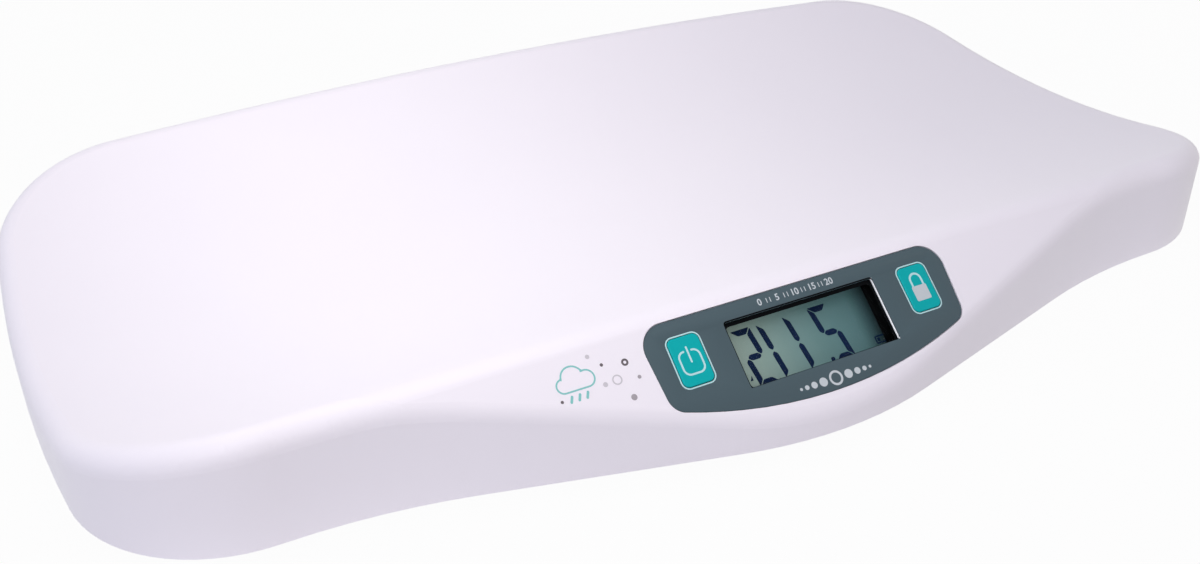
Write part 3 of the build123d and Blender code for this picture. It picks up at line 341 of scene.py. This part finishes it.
finishes = {
    "tray_shell": tray_white,
    "base_shell": base_white,
    "battery_door": base_white,
    "display_panel": slate,
    "display_window": clear,
    "display_shroud": black_abs,
    "lcd_glass": lcd,
    "elastomer_strips": zebra,
    "power_key": teal,
    "hold_key": teal,
    "unit_key": foot_white,
    "rating_label": label_film,
    "main_board": mask_green,
    "unit_board": mask_green,
    "controller_chip": epoxy,
    "amplifier_chip": epoxy,
    "board_capacitors": aluminium,
    "board_resistors": resistor_black,
    "strain_gauges": gauge_foil,
    "cell_clamps": zinc,
    "battery_1": plus_front,
    "battery_2": plus_back,
    "battery_3": plus_front,
    "battery_4": plus_back,
    "battery_springs": nickel,
    "battery_contacts": nickel,
    "battery_lead_red": red_sheath,
    "battery_lead_black": black_sheath,
    "unit_lead": sheath,
}
families = {
    "foot_cup_": foot_white,
    "foot_pad_": tread,
    "foot_clip_": spring_steel,
    "load_cell_": spring_steel,
    "cell_lead_": sheath,
}
endings = {"_switch": switch_black, "_plunger": plunger_brown, "_screws": zinc}
for name, piece in nodes.items():
    by_start = [finish for start, finish in families.items() if name.startswith(start)]
    by_end = [finish for end, finish in endings.items() if name.endswith(end)]
    piece.data.materials.clear()
    piece.data.materials.append(([finishes[name]] if name in finishes else by_start + by_end)[0])


# ---- Lines and flat shapes -------------------------------------------------------------
def arc(radius, centre, start, end, steps=12):
    """Points on an arc between two angles in degrees."""
    angles = [math.radians(start + (end - start) * i / steps) for i in range(steps + 1)]
    return [(centre[0] + radius * math.cos(a), centre[1] + radius * math.sin(a)) for a in angles]


def disc(radius, centre):
    """Closed loop of a circle."""
    return arc(radius, centre, 0, 360, 40)[:-1]


def rounded(width, height, radius, centre=(0.0, 0.0)):
    """Closed loop of a rectangle with round corners, from the left end of its top."""
    loop = []
    for quarter, (sx, sy) in enumerate(((-1, 1), (-1, -1), (1, -1), (1, 1)), start=1):
        middle = (centre[0] + sx * (width / 2 - radius), centre[1] + sy * (height / 2 - radius))
        loop += arc(radius, middle, 90 * quarter, 90 * quarter + 90, 8)
    return loop


def cross(centre, size, width):
    """Closed loop of an upright cross."""
    a, b = size / 2, width / 2
    corners = [(-b, a), (-b, b), (-a, b), (-a, -b), (-b, -b), (-b, -a)]
    corners += [(b, -a), (b, -b), (a, -b), (a, b), (b, b), (b, a)]
    return [(centre[0] + x, centre[1] + y) for x, y in corners]


def softened(loop, cut, steps=4):
    """Closed loop with each corner rounded over a length from the corner."""
    soft = []
    for before, corner, after in zip(loop[-1:] + loop[:-1], loop, loop[1:] + loop[:1]):
        b, c, a = Vector(before), Vector(corner), Vector(after)
        start = c + (b - c).normalized() * cut
        end = c + (a - c).normalized() * cut
        for t in (i / steps for i in range(steps + 1)):
            soft.append(tuple(start.lerp(c, t).lerp(c.lerp(end, t), t)))
    return soft


def stroke(points, width, closed=False):
    """Closed loops round a line of one width, with round ends where the line is open."""
    line = [Vector(point) for point in points]
    count = len(line)
    left, right = [], []
    for i, point in enumerate(line):
        runs = []  # unit vectors into the point and out of it
        if closed or i > 0:
            runs.append((point - line[i - 1]).normalized())
        if closed or i < count - 1:
            runs.append((line[(i + 1) % count] - point).normalized())
        along = sum(runs, Vector((0, 0))).normalized()
        out = Vector((-along.y, along.x)) * width / 2 / max(0.5, along.dot(runs[-1]))
        left.append(tuple(point + out))
        right.append(tuple(point - out))
    if closed:
        return [left, right]
    first = math.degrees(math.atan2(*(line[1] - line[0]).yx))
    last = math.degrees(math.atan2(*(line[-1] - line[-2]).yx))
    end_cap = arc(width / 2, line[-1], last + 90, last - 90)
    start_cap = arc(width / 2, line[0], first - 90, first - 270)
    return [left[:-1] + end_cap + right[-2:0:-1] + start_cap[:-1]]


def plate(name, loops, low, high, material, body, place=deck):
    """Flat piece between two heights: closed loops, those inside others being holes."""
    curve = bpy.data.curves.new(name, "CURVE")
    curve.dimensions = "2D"
    curve.fill_mode = "BOTH"
    curve.extrude = (high - low) / 2 * mm
    for loop in loops:
        spline = curve.splines.new("POLY")
        spline.points.add(len(loop) - 1)
        for point, (x, y) in zip(spline.points, loop):
            point.co = (x * mm, y * mm, 0, 1)
        spline.use_cyclic_u = True
    drawing = bpy.data.objects.new(name, curve)
    mesh = bpy.data.meshes.new_from_object(drawing)
    bpy.data.objects.remove(drawing)
    mesh.transform(place @ Matrix.Translation((0, 0, (low + high) / 2 * mm)))
    return settled(name, mesh, material, body)


def settled(name, mesh, material, body):
    """Object of a mesh that is already in its place, in its material and on its body."""
    mesh.materials.clear()
    mesh.materials.append(material)
    mesh.name = name
    made = bpy.data.objects.new(name, mesh)
    scene.collection.objects.link(made)
    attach(made, body)
    return made


def bars(name, count, pitch, size, material, body, place, keep=None, copies=None):
    """Rounded bars in rows, grown by Geometry Nodes and made a plain mesh in its place.

    count and pitch are along x and y, and size is a bar's width, height, corner and depth.
    keep is a period, a middle step of it and how far from that a bar may lie to stay.  copies
    are a count and pitch of the whole.
    """
    tree = bpy.data.node_groups.new(name, "GeometryNodeTree")
    sizes = dict(zip(("Pitch X", "Pitch Y", "Width", "Height", "Corner", "Depth"), (*pitch, *size)))
    for label in sizes:
        tree.interface.new_socket(label, in_out="INPUT", socket_type="NodeSocketFloat")
    tree.interface.new_socket("Geometry", in_out="OUTPUT", socket_type="NodeSocketGeometry")
    given = add(tree, "NodeGroupInput").outputs
    spans = []
    for label, steps in zip(("Pitch X", "Pitch Y"), count):
        span_inputs = {0: given[label], 1: steps - 1.0}
        span = add(tree, "ShaderNodeMath", span_inputs, operation="MULTIPLY")
        spans.append(span.outputs[0])
    points = add(
        tree,
        "GeometryNodeMeshGrid",
        {"Size X": spans[0], "Size Y": spans[1], "Vertices X": count[0], "Vertices Y": count[1]},
    ).outputs[0]
    if keep:
        index = add(tree, "GeometryNodeInputIndex").outputs[0]
        step = add(tree, "ShaderNodeMath", {0: index, 1: keep[0]}, operation="MODULO")
        stays = {0: step.outputs[0], 1: keep[1], 2: keep[2]}
        chosen = add(tree, "ShaderNodeMath", stays, operation="COMPARE")
        points = add(
            tree,
            "GeometryNodeSeparateGeometry",
            {"Geometry": points, "Selection": chosen.outputs[0]},
            domain="POINT",
        ).outputs[0]
    outline_inputs = {"Width": given["Width"], "Height": given["Height"]}
    outline = add(tree, "GeometryNodeCurvePrimitiveQuadrilateral", outline_inputs)
    round_outline = add(
        tree,
        "GeometryNodeFilletCurve",
        {"Curve": outline.outputs[0], "Radius": given["Corner"], "Count": 5, "Limit Radius": True},
        mode="POLY",
    )
    face = add(tree, "GeometryNodeFillCurve", {"Curve": round_outline.outputs[0]}, mode="NGONS")
    risen = add(
        tree,
        "GeometryNodeExtrudeMesh",
        {"Mesh": face.outputs[0], "Offset Scale": given["Depth"], "Individual": False},
    )
    placed = {"Points": points, "Instance": risen.outputs[0]}
    rows = add(tree, "GeometryNodeInstanceOnPoints", placed).outputs[0]
    if copies:
        (across, along), (apart_x, apart_y) = copies
        places = add(
            tree,
            "GeometryNodeMeshGrid",
            {
                "Size X": apart_x * (across - 1) * mm,
                "Size Y": apart_y * (along - 1) * mm,
                "Vertices X": across,
                "Vertices Y": along,
            },
        )
        placed = {"Points": places.outputs[0], "Instance": rows}
        rows = add(tree, "GeometryNodeInstanceOnPoints", placed).outputs[0]
    real = add(tree, "GeometryNodeRealizeInstances", {"Geometry": rows})
    dressed_inputs = {"Geometry": real.outputs[0], "Material": material}
    dressed = add(tree, "GeometryNodeSetMaterial", dressed_inputs)
    add(tree, "NodeGroupOutput", {"Geometry": dressed.outputs[0]})
    carrier = bpy.data.objects.new(name, bpy.data.meshes.new(name))
    scene.collection.objects.link(carrier)
    modifier = carrier.modifiers.new(name, "NODES")
    modifier.node_group = tree
    for item in tree.interface.items_tree:
        if item.in_out == "INPUT":
            modifier[item.identifier] = sizes[item.name] * mm
    grown = carrier.evaluated_get(bpy.context.evaluated_depsgraph_get())
    mesh = bpy.data.meshes.new_from_object(grown)
    bpy.data.objects.remove(carrier)
    mesh.transform(place)
    return settled(name, mesh, material, body)


def lettering(name, words, size, bold, high, material, body, place):
    """Raised or printed words: each is its letters and the place of its middle."""
    joined = bmesh.new()
    for letters, (x, y) in words:
        text = bpy.data.curves.new(name, "FONT")
        text.body = letters
        text.size = size * mm
        text.offset = bold * mm
        text.extrude = high / 2 * mm
        text.align_x = "CENTER"
        text.align_y = "CENTER"
        writing = bpy.data.objects.new(name, text)
        written = bpy.data.meshes.new_from_object(writing)
        bpy.data.objects.remove(writing)
        written.transform(place @ Matrix.Translation(Vector((x, y, high / 2)) * mm))
        joined.from_mesh(written)
    mesh = bpy.data.meshes.new(name)
    joined.to_mesh(mesh)
    joined.free()
    return settled(name, mesh, material, body)


def underside(height):
    """Frame of a face that looks down: heights there grow downwards, and y is turned over."""
    return Matrix.Translation((0, 0, height * mm)) @ Matrix.Rotation(math.pi, 4, "X")


def level(height):
    """Frame of a face that looks up."""
    return Matrix.Translation((0, 0, height * mm))


# ---- Display panel ---------------------------------------------------------------------
# The printed sheet: the solid's own outline with its arrises eased, and a painted highlight, white
# and faintly glowing, on the cut edge at the right of the window, where it would catch the light.
weld_reach = 0.002
flat_angle = math.radians(1)
arris_angle = math.radians(60)
arris_cut = 0.12
# The painted highlight goes only on faces of the cut edge at the window's right end that look to
# the left.
highlight_edge_within = 0.5            # of the window's end, for the middle of a face of the cut edge
highlight_edge_facing = -0.3           # and the X of its normal is below this, so it looks at the window
sheet_mesh = nodes["display_panel"].data.copy()
shape = bmesh.new()
shape.from_mesh(sheet_mesh)
bmesh.ops.remove_doubles(shape, verts=shape.verts, dist=weld_reach * mm)
bmesh.ops.dissolve_limit(shape, angle_limit=flat_angle, verts=shape.verts, edges=shape.edges)
between_faces = [edge for edge in shape.edges if len(edge.link_faces) == 2]
arrises = [edge for edge in between_faces if edge.calc_face_angle() > arris_angle]
bmesh.ops.bevel(shape, geom=arrises, offset=arris_cut * mm, segments=2, profile=0.5, affect="EDGES")
shape.to_mesh(sheet_mesh)
shape.free()
printed_sheet = settled("printed_panel_sheet", sheet_mesh, slate, carcass)
# Second slot: the painted highlight on the window's right cut edge.
sheet_mesh.materials.append(painted_highlight_edge)
for face in sheet_mesh.polygons:
    at_painted_highlight = abs(face.center.x - view_width / 2 * mm) < highlight_edge_within * mm
    face.use_smooth = True
    face.material_index = int(at_painted_highlight and face.normal.x < highlight_edge_facing)
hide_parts("display_panel")

key_places = {"power_key": (-key_x, key_v), "hold_key": (key_x, key_v)}
ring_width = 0.6
ring_setback = 0.05          # from the edge of the key's hole
rings_print = []
for place in key_places.values():
    for grow in (key_gap + ring_width, key_gap + ring_setback):
        ring_size = (key_width + 2 * grow, key_height + 2 * grow)
        rings_print.append(rounded(*ring_size, key_corner + grow, place))
plate("key_border_print", rings_print, panel_face, panel_face + ink, pale_ink, carcass)

# A row of dots that grow to a ring in the middle, under the window.
dot_row = (0.6, 0.95, 1.35, 1.8)
dot_gap = 1.1
row_u, row_v = 0.4, -20.0
ring_line = 0.9
reach = 3.0                  # from the row's middle, outwards
dots = stroke(disc(reach - ring_line / 2, (row_u, row_v)), ring_line, closed=True)
for radius in reversed(dot_row):
    reach += dot_gap + radius
    dots += [disc(radius, (row_u - reach, row_v)), disc(radius, (row_u + reach, row_v))]
    reach += radius
plate("panel_ornament_print", dots, panel_face, panel_face + ink, grey_ink, carcass)

# Plain numbers of kilograms over the window, and between them ticks, at the two kilograms in the
# middle of each gap between figures.
figure_pitch = 8.2
figure_row = deck @ Matrix.Translation(Vector((-0.4, 17.1, panel_face)) * mm)
figure_size = 3.8
figure_bold = 0.07
figure_texts = ("0", "5", "10", "15", "20")
figures = [(text, ((index - 2) * figure_pitch, 0)) for index, text in enumerate(figure_texts)]
lettering(
    "panel_figures_print", figures, figure_size, figure_bold, ink, grey_ink, carcass, figure_row
)
tick_pitch = (figure_pitch / 5, 0)
tick_size = (0.34, 2.0, 0.12, ink)
tick_keep = (5.0, 2.5, 0.9)  # of each five, the two in the middle between figures
bars(
    "panel_ticks_print", (21, 1), tick_pitch, tick_size, grey_ink, carcass, figure_row, tick_keep
)

# Black border printed on the clear window, widened at the top and the right into painted shade
# where the window's walls would shade the display, and a keyline round the window on the panel,
# widened at the top into painted shade too.
border_outer = rounded(view_width - 0.1, view_height - 0.1, 0.3)
# The inner edge is shifted down and to the left, so the border widens into painted shade at the top
# and the right.
border_inner_edge_of_painted_shade = rounded(view_width - 1.5, view_height - 1.9, 1.8, (-0.45, -0.7))
border_and_painted_shade_loops = [border_outer, border_inner_edge_of_painted_shade]
plate("window_border_print_and_painted_shade", border_and_painted_shade_loops, window_face, window_face + ink, black_ink, carcass)
# The outer edge is shifted up, so the keyline widens into painted shade at the top.
keyline_outer_with_painted_shade = rounded(view_width + 0.5, view_height + 0.65, 1.5, (0, 0.225))
keyline_inner = rounded(view_width, view_height, 1.4)
keyline_and_painted_shade_loops = [keyline_outer_with_painted_shade, keyline_inner]
plate("window_keyline_print_and_painted_shade", keyline_and_painted_shade_loops, panel_face, panel_face + ink, black_ink, carcass)


# ---- Keys' symbols ---------------------------------------------------------------------
power_frame = rounded(8.9, 9.1, 2.6, (-key_x, key_v - 0.85))
power_line = [(-key_x - 1.7, power_frame[0][1]), *power_frame, (-key_x + 1.7, power_frame[0][1])]
power_bar = [(-key_x, key_v + 5.2), (-key_x, key_v - 0.7)]
power_stroke = 0.75
power_loops = stroke(power_line, power_stroke) + stroke(power_bar, power_stroke)
plate("power_symbol_print", power_loops, key_face, key_face + ink, pale_ink, "power_key")

shackle_bend = 2.6           # radius of its top
shackle_top = 7.2            # middle of that
shackle_foot = 4.4
shackle = arc(shackle_bend, (key_x, shackle_top), 0, 180, 20)
shackle = [(key_x + shackle_bend, shackle_foot), *shackle, (key_x - shackle_bend, shackle_foot)]
lock_stroke = 0.9
lock_loops = stroke(shackle, lock_stroke)
plate("lock_shackle_print", lock_loops, key_face, key_face + ink, pale_ink, "hold_key")
lock_body = [rounded(7.1, 6.4, 0.6, (key_x, 1.4))]
lock_face = key_face + 0.005  # its body is printed over the ends of its shackle
plate("lock_body_print", lock_body, lock_face, lock_face + ink, grey_ink, "hold_key")


# ---- Liquid crystal display ------------------------------------------------------------
digit_width = 6.6            # between the middles of the upright segments
digit_top = 10.1
digit_middle = -0.6
digit_bottom = -11.3
digit_slant = math.tan(math.radians(8))
segment = 2.45               # width of a segment
segment_gap = 0.22
segment_soft = 0.6           # how far its corners are rounded


def segments(x, names):
    """Loops of a digit's lit segments, the digit leaning back to the left."""
    half = segment / 2
    gap = segment_gap
    right = digit_width
    upper = digit_top - digit_middle
    lower = digit_middle - digit_bottom
    flat = [(gap - half, half), (right + half - gap, half)]
    flat += [(right - half - gap, -half), (half + gap, -half)]
    bar = [(gap, 0), (half + gap, half), (right - half - gap, half), (right - gap, 0)]
    bar += [(right - half - gap, -half), (half + gap, -half)]
    up = [(-half, upper + half - gap), (half, upper - half - gap)]
    up += [(half, half + gap), (0, gap), (-half, half + gap)]
    down = [(px, lower / upper * py) for px, py in up]
    shapes = {
        "a": [(px, digit_top + py) for px, py in flat],
        "d": [(px, digit_bottom - py) for px, py in flat],
        "g": [(px, digit_middle + py) for px, py in bar],
        "f": [(px, digit_middle + py) for px, py in up],
        "b": [(right - px, digit_middle + py) for px, py in up],
        "e": [(px, digit_middle - py) for px, py in down],
        "c": [(right - px, digit_middle - py) for px, py in down],
    }
    loops = [softened(shapes[name], segment_soft) for name in names]
    return [[(x + px + (digit_top - py) * digit_slant, py) for px, py in loop] for loop in loops]


digits = ((-27.9, "abged"), (-16.0, "fe"), (-3.7, "fe"), (8.3, "afgcd"))
lit = [loop for digit_x, names in digits for loop in segments(digit_x, names)]
# Decimal point, battery mark with its charge, and the small wedge of the steady mark.
lit.append(disc(0.95, (8.75, -11.2)))
battery_mark = (33.2, -9.5)
lit += stroke(rounded(4.6, 2.8, 0.3, battery_mark), 0.6, closed=True)
lit.append(rounded(0.7, 1.2, 0.1, (battery_mark[0] + 2.8, battery_mark[1])))
lit.append(rounded(1.2, 1.5, 0.1, (battery_mark[0] - 1.0, battery_mark[1])))
lit.append([(-29.2, -9.3), (-27.9, -7.3), (-27.9, -9.3)])
plate("lcd_segments", lit, glass_face, glass_face + ink, segment_ink, carcass)


# ---- Prints on the apron ---------------------------------------------------------------
def cloud(circles, floor_v):
    """Closed outline of a cloud: arcs of circles side by side over a flat foot."""
    joints = []
    for (r0, (x0, y0)), (r1, (x1, y1)) in zip(circles, circles[1:]):
        apart = math.hypot(x1 - x0, y1 - y0)
        along = (apart**2 + r0**2 - r1**2) / (2 * apart)
        across = math.sqrt(r0**2 - along**2)
        ex, ey = (x1 - x0) / apart, (y1 - y0) / apart
        joints.append((x0 + along * ex - across * ey, y0 + along * ey + across * ex))
    first, last = circles[0], circles[-1]
    starts = [(first[1][0], floor_v)] + joints
    ends = joints + [(last[1][0], floor_v)]
    outline = []
    for (radius, centre), start, end in zip(circles, starts, ends):
        begin = math.degrees(math.atan2(start[1] - centre[1], start[0] - centre[0])) % 360
        finish = math.degrees(math.atan2(end[1] - centre[1], end[0] - centre[0]))
        outline += arc(radius, centre, begin, finish, 16)
    return outline


cloud_circles = [(2.7, (-104.9, 8.5)), (4.4, (-100.6, 10.6)), (3.2, (-95.6, 9.0))]
cloud_foot = 5.8
cloud_prints = stroke(cloud(cloud_circles, cloud_foot), 0.65, closed=True)
plate("cloud_print", cloud_prints, 0, ink, teal_ink, carcass)
drop_prints = []
for drop_u in (-103.4, -100.2, -97.0):
    drop_prints += stroke([(drop_u, 4.0), (drop_u - 0.9, 2.1)], 1.0)
plate("drop_print", drop_prints, 0, ink, teal_ink, carcass)

dark_dots = [disc(0.65, (-88.2, 12.0)), disc(0.6, (-107.6, 3.2))]
dark_dots += stroke(disc(1.0, (-79.2, 10.4)), 0.8, closed=True)
plate("dark_dot_print", dark_dots, 0, ink, dark_ink, carcass)
mid_dots = [disc(1.2, (-81.0, -3.0)), disc(0.75, (-76.0, 3.6))]
plate("mid_dot_print", mid_dots, 0, ink, mid_ink, carcass)
soft_dots = [disc(0.95, (-89.6, 4.6)), disc(0.85, (-92.2, 16.4))]
soft_dots += stroke(disc(1.7, (-84.6, 5.0)), 0.55, closed=True)
plate("soft_dot_print", soft_dots, 0, ink, soft_ink, carcass)


# ---- Battery door ----------------------------------------------------------------------
# Grip ribs on its outside, and the lie of the cells in relief on its inside.
grip = underside(door_face) @ Matrix.Translation(Vector((0, -4.5, 0)) * mm)
bars("door_grip_ribs", (1, 6), (0, 1.8), (18.0, 0.9, 0.4, 0.2), base_white, "battery_door", grip)
lies = []
mark_stroke = 0.8
for index in range(4):
    cell_x = (index - 1.5) * battery_pitch
    plus_way = -1 if index % 2 == 0 else 1
    can_lie = rounded(9.0, battery_body - 3, 0.8, (cell_x, battery_y - plus_way * 0.8))
    lies += stroke(can_lie, 0.4, closed=True)
    lies.append(rounded(3.4, 1.2, 0.2, (cell_x, battery_y + plus_way * (battery_body / 2 - 1.4))))
    plus_y = battery_y + plus_way * (battery_body / 2 - 6.5)
    minus_y = battery_y - plus_way * (battery_body / 2 - 5.0)
    lies.append(cross((cell_x, plus_y), 3.6, mark_stroke))
    lies.append(rounded(3.6, mark_stroke, 0.1, (cell_x, minus_y)))
mark_relief = 0.12
plate("door_cell_marks", lies, 0, mark_relief, base_white, "battery_door", level(door_inside))


# ---- Underside -------------------------------------------------------------------------
label_middle = Matrix.Translation(Vector((label_place[0], -label_place[1], 0)) * mm)
label_frame = underside(label_face) @ label_middle
label_width, label_height = label_size
border = stroke(rounded(label_width - 5, label_height - 5, 1.5), 0.35, closed=True)
label_ink = 0.02
plate("label_border_print", border, 0, label_ink, mid_ink, carcass, label_frame)
rule_size = (label_width - 12, 0.25, 0.05, label_ink)
bars("label_rules_print", (1, 4), (0, 5.0), rule_size, mid_ink, carcass, label_frame)


# ---- Strain gauges ---------------------------------------------------------------------
# Nine strands of foil along each gauge, with two solder tabs at each end of the grid.
gauge_middle = Vector((0, feet_middle_y + gauge_shift, 0)) * mm
gauges = level(gauge_face) @ Matrix.Translation(gauge_middle)
four = ((2, 2), (2 * foot_x, feet_apart_y))
strand_size = (4.6, 0.2, 0.05, 0.02)
tab_size = (1.2, 1.3, 0.4, 0.02)
bars("gauge_grids", (1, 9), (0, 0.38), strand_size, gauge_grid, carcass, gauges, copies=four)
bars("gauge_solder_tabs", (2, 2), (6.2, 2.4), tab_size, tin, carcass, gauges, copies=four)


# ---- Main board ------------------------------------------------------------------------
# Copper runs under the solder mask and rows of solder joints, on the side away from the display.
board_middle = Matrix.Translation(Vector((0, board_shift, board_back)) * mm)
board_frame = deck @ board_middle @ Matrix.Rotation(math.pi, 4, "X")
run_size = (0.6, 34.0, 0.25, 0.03)
joint_size = (1.6, 1.6, 0.8, 0.4)
bars("main_board_runs", (25, 1), (5.0, 0), run_size, mask_copper, carcass, board_frame)
bars("main_board_joints", (13, 2), (9.6, 27.0), joint_size, tin, carcass, board_frame)


# ---- Camera, floor and light -----------------------------------------------------------
camera_data = bpy.data.cameras.new("camera")
camera_data.lens = 39.2
camera_data.sensor_width = 36.0
camera_data.clip_start = 0.01
camera = bpy.data.objects.new("camera", camera_data)
camera.location = (-0.27209, -0.47122, 0.31267)
camera.rotation_euler = [math.radians(angle) for angle in (59.310, 0.423, -28.288)]
scene.collection.objects.link(camera)
scene.camera = camera


def seen_directly(tree):
    """1 for rays from the camera, mirrored or through glass, and 0 for the light's own."""
    path = add(tree, "ShaderNodeLightPath").outputs
    bent = {0: path["Is Glossy Ray"], 1: path["Is Transmission Ray"]}
    mirrored = add(tree, "ShaderNodeMath", bent, operation="MAXIMUM")
    either = {0: path["Is Camera Ray"], 1: mirrored.outputs[0]}
    return add(tree, "ShaderNodeMath", either, operation="MAXIMUM").outputs[0]


floor_material, floor_tree, floor_shader = new_material("pale_floor", "#c8c8cc", 0.7)
# The table is lit from within under the scale, which lightens the underside.
table_core = (0.23, 0.11, 1)  # half of the block outside which the glow fades
table_fade = 0.045           # from there to where it ends
table_strength = 0.38
floor_place = add(floor_tree, "ShaderNodeTexCoord").outputs["Object"]
quarter = add(floor_tree, "ShaderNodeVectorMath", {0: floor_place}, operation="ABSOLUTE")
past_inputs = {0: quarter.outputs[0], 1: table_core}
past_core = add(floor_tree, "ShaderNodeVectorMath", past_inputs, operation="SUBTRACT")
outside_inputs = {0: past_core.outputs[0], 1: (0, 0, 0)}
outside = add(floor_tree, "ShaderNodeVectorMath", outside_inputs, operation="MAXIMUM")
from_core = add(floor_tree, "ShaderNodeVectorMath", {0: outside.outputs[0]}, operation="LENGTH")
faded = add(
    floor_tree,
    "ShaderNodeMapRange",
    {
        "Value": from_core.outputs["Value"],
        "From Max": table_fade,
        "To Min": table_strength,
        "To Max": 0.0,
    },
)
table_inputs = {"Color": (0.95, 0.97, 1, 1), "Strength": faded.outputs[0]}
table_glow = add(floor_tree, "ShaderNodeEmission", table_inputs)
lit_inputs = {0: floor_shader.outputs[0], 1: table_glow.outputs[0]}
lit_floor = add(floor_tree, "ShaderNodeAddShader", lit_inputs)
# What the camera sees of it is nearly white, with a trace of the shadow on it.
white_share = 0.965
white = add(floor_tree, "ShaderNodeEmission", {"Color": (1, 1, 1, 1), "Strength": 1.0})
seen_inputs = {0: white_share, 1: floor_shader.outputs[0], 2: white.outputs[0]}
seen_floor = add(floor_tree, "ShaderNodeMixShader", seen_inputs)
upper_inputs = {0: seen_directly(floor_tree), 1: lit_floor.outputs[0], 2: seen_floor.outputs[0]}
upper_side = add(floor_tree, "ShaderNodeMixShader", upper_inputs)
# Seen from below the floor isn't there, so that the underside shows.
floor_back = add(floor_tree, "ShaderNodeNewGeometry").outputs["Backfacing"]
unseen = add(floor_tree, "ShaderNodeBsdfTransparent")
sides = {0: floor_back, 1: upper_side.outputs[0], 2: unseen.outputs[0]}
one_sided = add(floor_tree, "ShaderNodeMixShader", sides)
floor_out = floor_tree.nodes["Material Output"]
floor_tree.links.new(one_sided.outputs[0], floor_out.inputs["Surface"])

floor_z = -0.05 * mm         # just clear of the pads
floor_half = 6.0
floor_signs = ((-1, -1), (1, -1), (1, 1), (-1, 1))
floor_corners = [(sx * floor_half, sy * floor_half, floor_z) for sx, sy in floor_signs]
floor_mesh = bpy.data.meshes.new("floor")
floor_mesh.from_pydata(floor_corners, [], [(0, 1, 2, 3)])
floor_mesh.materials.append(floor_material)
floor = bpy.data.objects.new("floor", floor_mesh)
scene.collection.objects.link(floor)

world = bpy.data.worlds.new("studio")
scene.world = world
world.use_nodes = True
world_tree = world.node_tree
# Light of the room: an even part, and what comes more from one way than from the others.
room_even = {"X": 0.22, "Y": 0.22, "Z": 0.224}
room_lobes = {
    (-1, 0, 0): (0.182, 0.205, 0.269),
    (-0.7, -0.7, 0): (0.396, 0.4, 0.428),
    (0, -1, 0): (0.22, 0.205, 0.183),
    (0.7, -0.7, 0): (0.115, 0.094, 0.06),
    (1, 0, 0): (0.089, 0.08, 0.08),
    (0, 1, 0): (0.25, 0.25, 0.25),
    (0, 0, 1): (0.031, 0.028, 0.079),
}
view_way = add(world_tree, "ShaderNodeTexCoord").outputs["Generated"]
room_light = add(world_tree, "ShaderNodeCombineXYZ", room_even).outputs[0]
for lobe_way, lobe_light in room_lobes.items():
    way_inputs = {0: view_way, 1: lobe_way}
    facing = add(world_tree, "ShaderNodeVectorMath", way_inputs, operation="DOT_PRODUCT")
    lobe_inputs = {0: facing.outputs["Value"], 1: 0.0}
    lobe = add(world_tree, "ShaderNodeMath", lobe_inputs, operation="MAXIMUM")
    sum_inputs = {0: lobe_light, 1: lobe.outputs[0], 2: room_light}
    room_sum = add(world_tree, "ShaderNodeVectorMath", sum_inputs, operation="MULTIPLY_ADD")
    room_light = room_sum.outputs[0]
room = world_tree.nodes["Background"]
world_tree.links.new(room_light, room.inputs["Color"])
backdrop = add(world_tree, "ShaderNodeBackground", {"Color": (1, 1, 1, 1), "Strength": 1.0})
world_inputs = {0: seen_directly(world_tree), 1: room.outputs[0], 2: backdrop.outputs[0]}
world_mix = add(world_tree, "ShaderNodeMixShader", world_inputs)
world_out = world_tree.nodes["World Output"]
world_tree.links.new(world_mix.outputs[0], world_out.inputs["Surface"])

# Soft boxes: places, sizes, watts and tints.  The nearest hangs low over the lying surface.
soft_boxes = {
    "soft_box_near": ((-0.12, 0.0, 0.28), 0.3, 0.365, (1.0, 0.965, 0.9)),
    "soft_box_front": ((-0.3, -0.4, 0.6), 0.5, 0.965, (0.99, 0.945, 1.0)),
    "soft_box_end": ((-0.35, 0.1, 0.55), 0.5, 0.106, (0.75, 0.83, 1.0)),
}
for name, (place, size, watts, tint) in soft_boxes.items():
    soft_data = bpy.data.lights.new(name, "AREA")
    soft_data.size = size
    soft_data.energy = watts
    soft_data.color = tint
    soft = bpy.data.objects.new(name, soft_data)
    soft.location = place
    soft.visible_camera = False
    soft.rotation_euler = (-soft.location).to_track_quat("-Z", "Y").to_euler()
    scene.collection.objects.link(soft)

scene.view_settings.view_transform = "Standard"
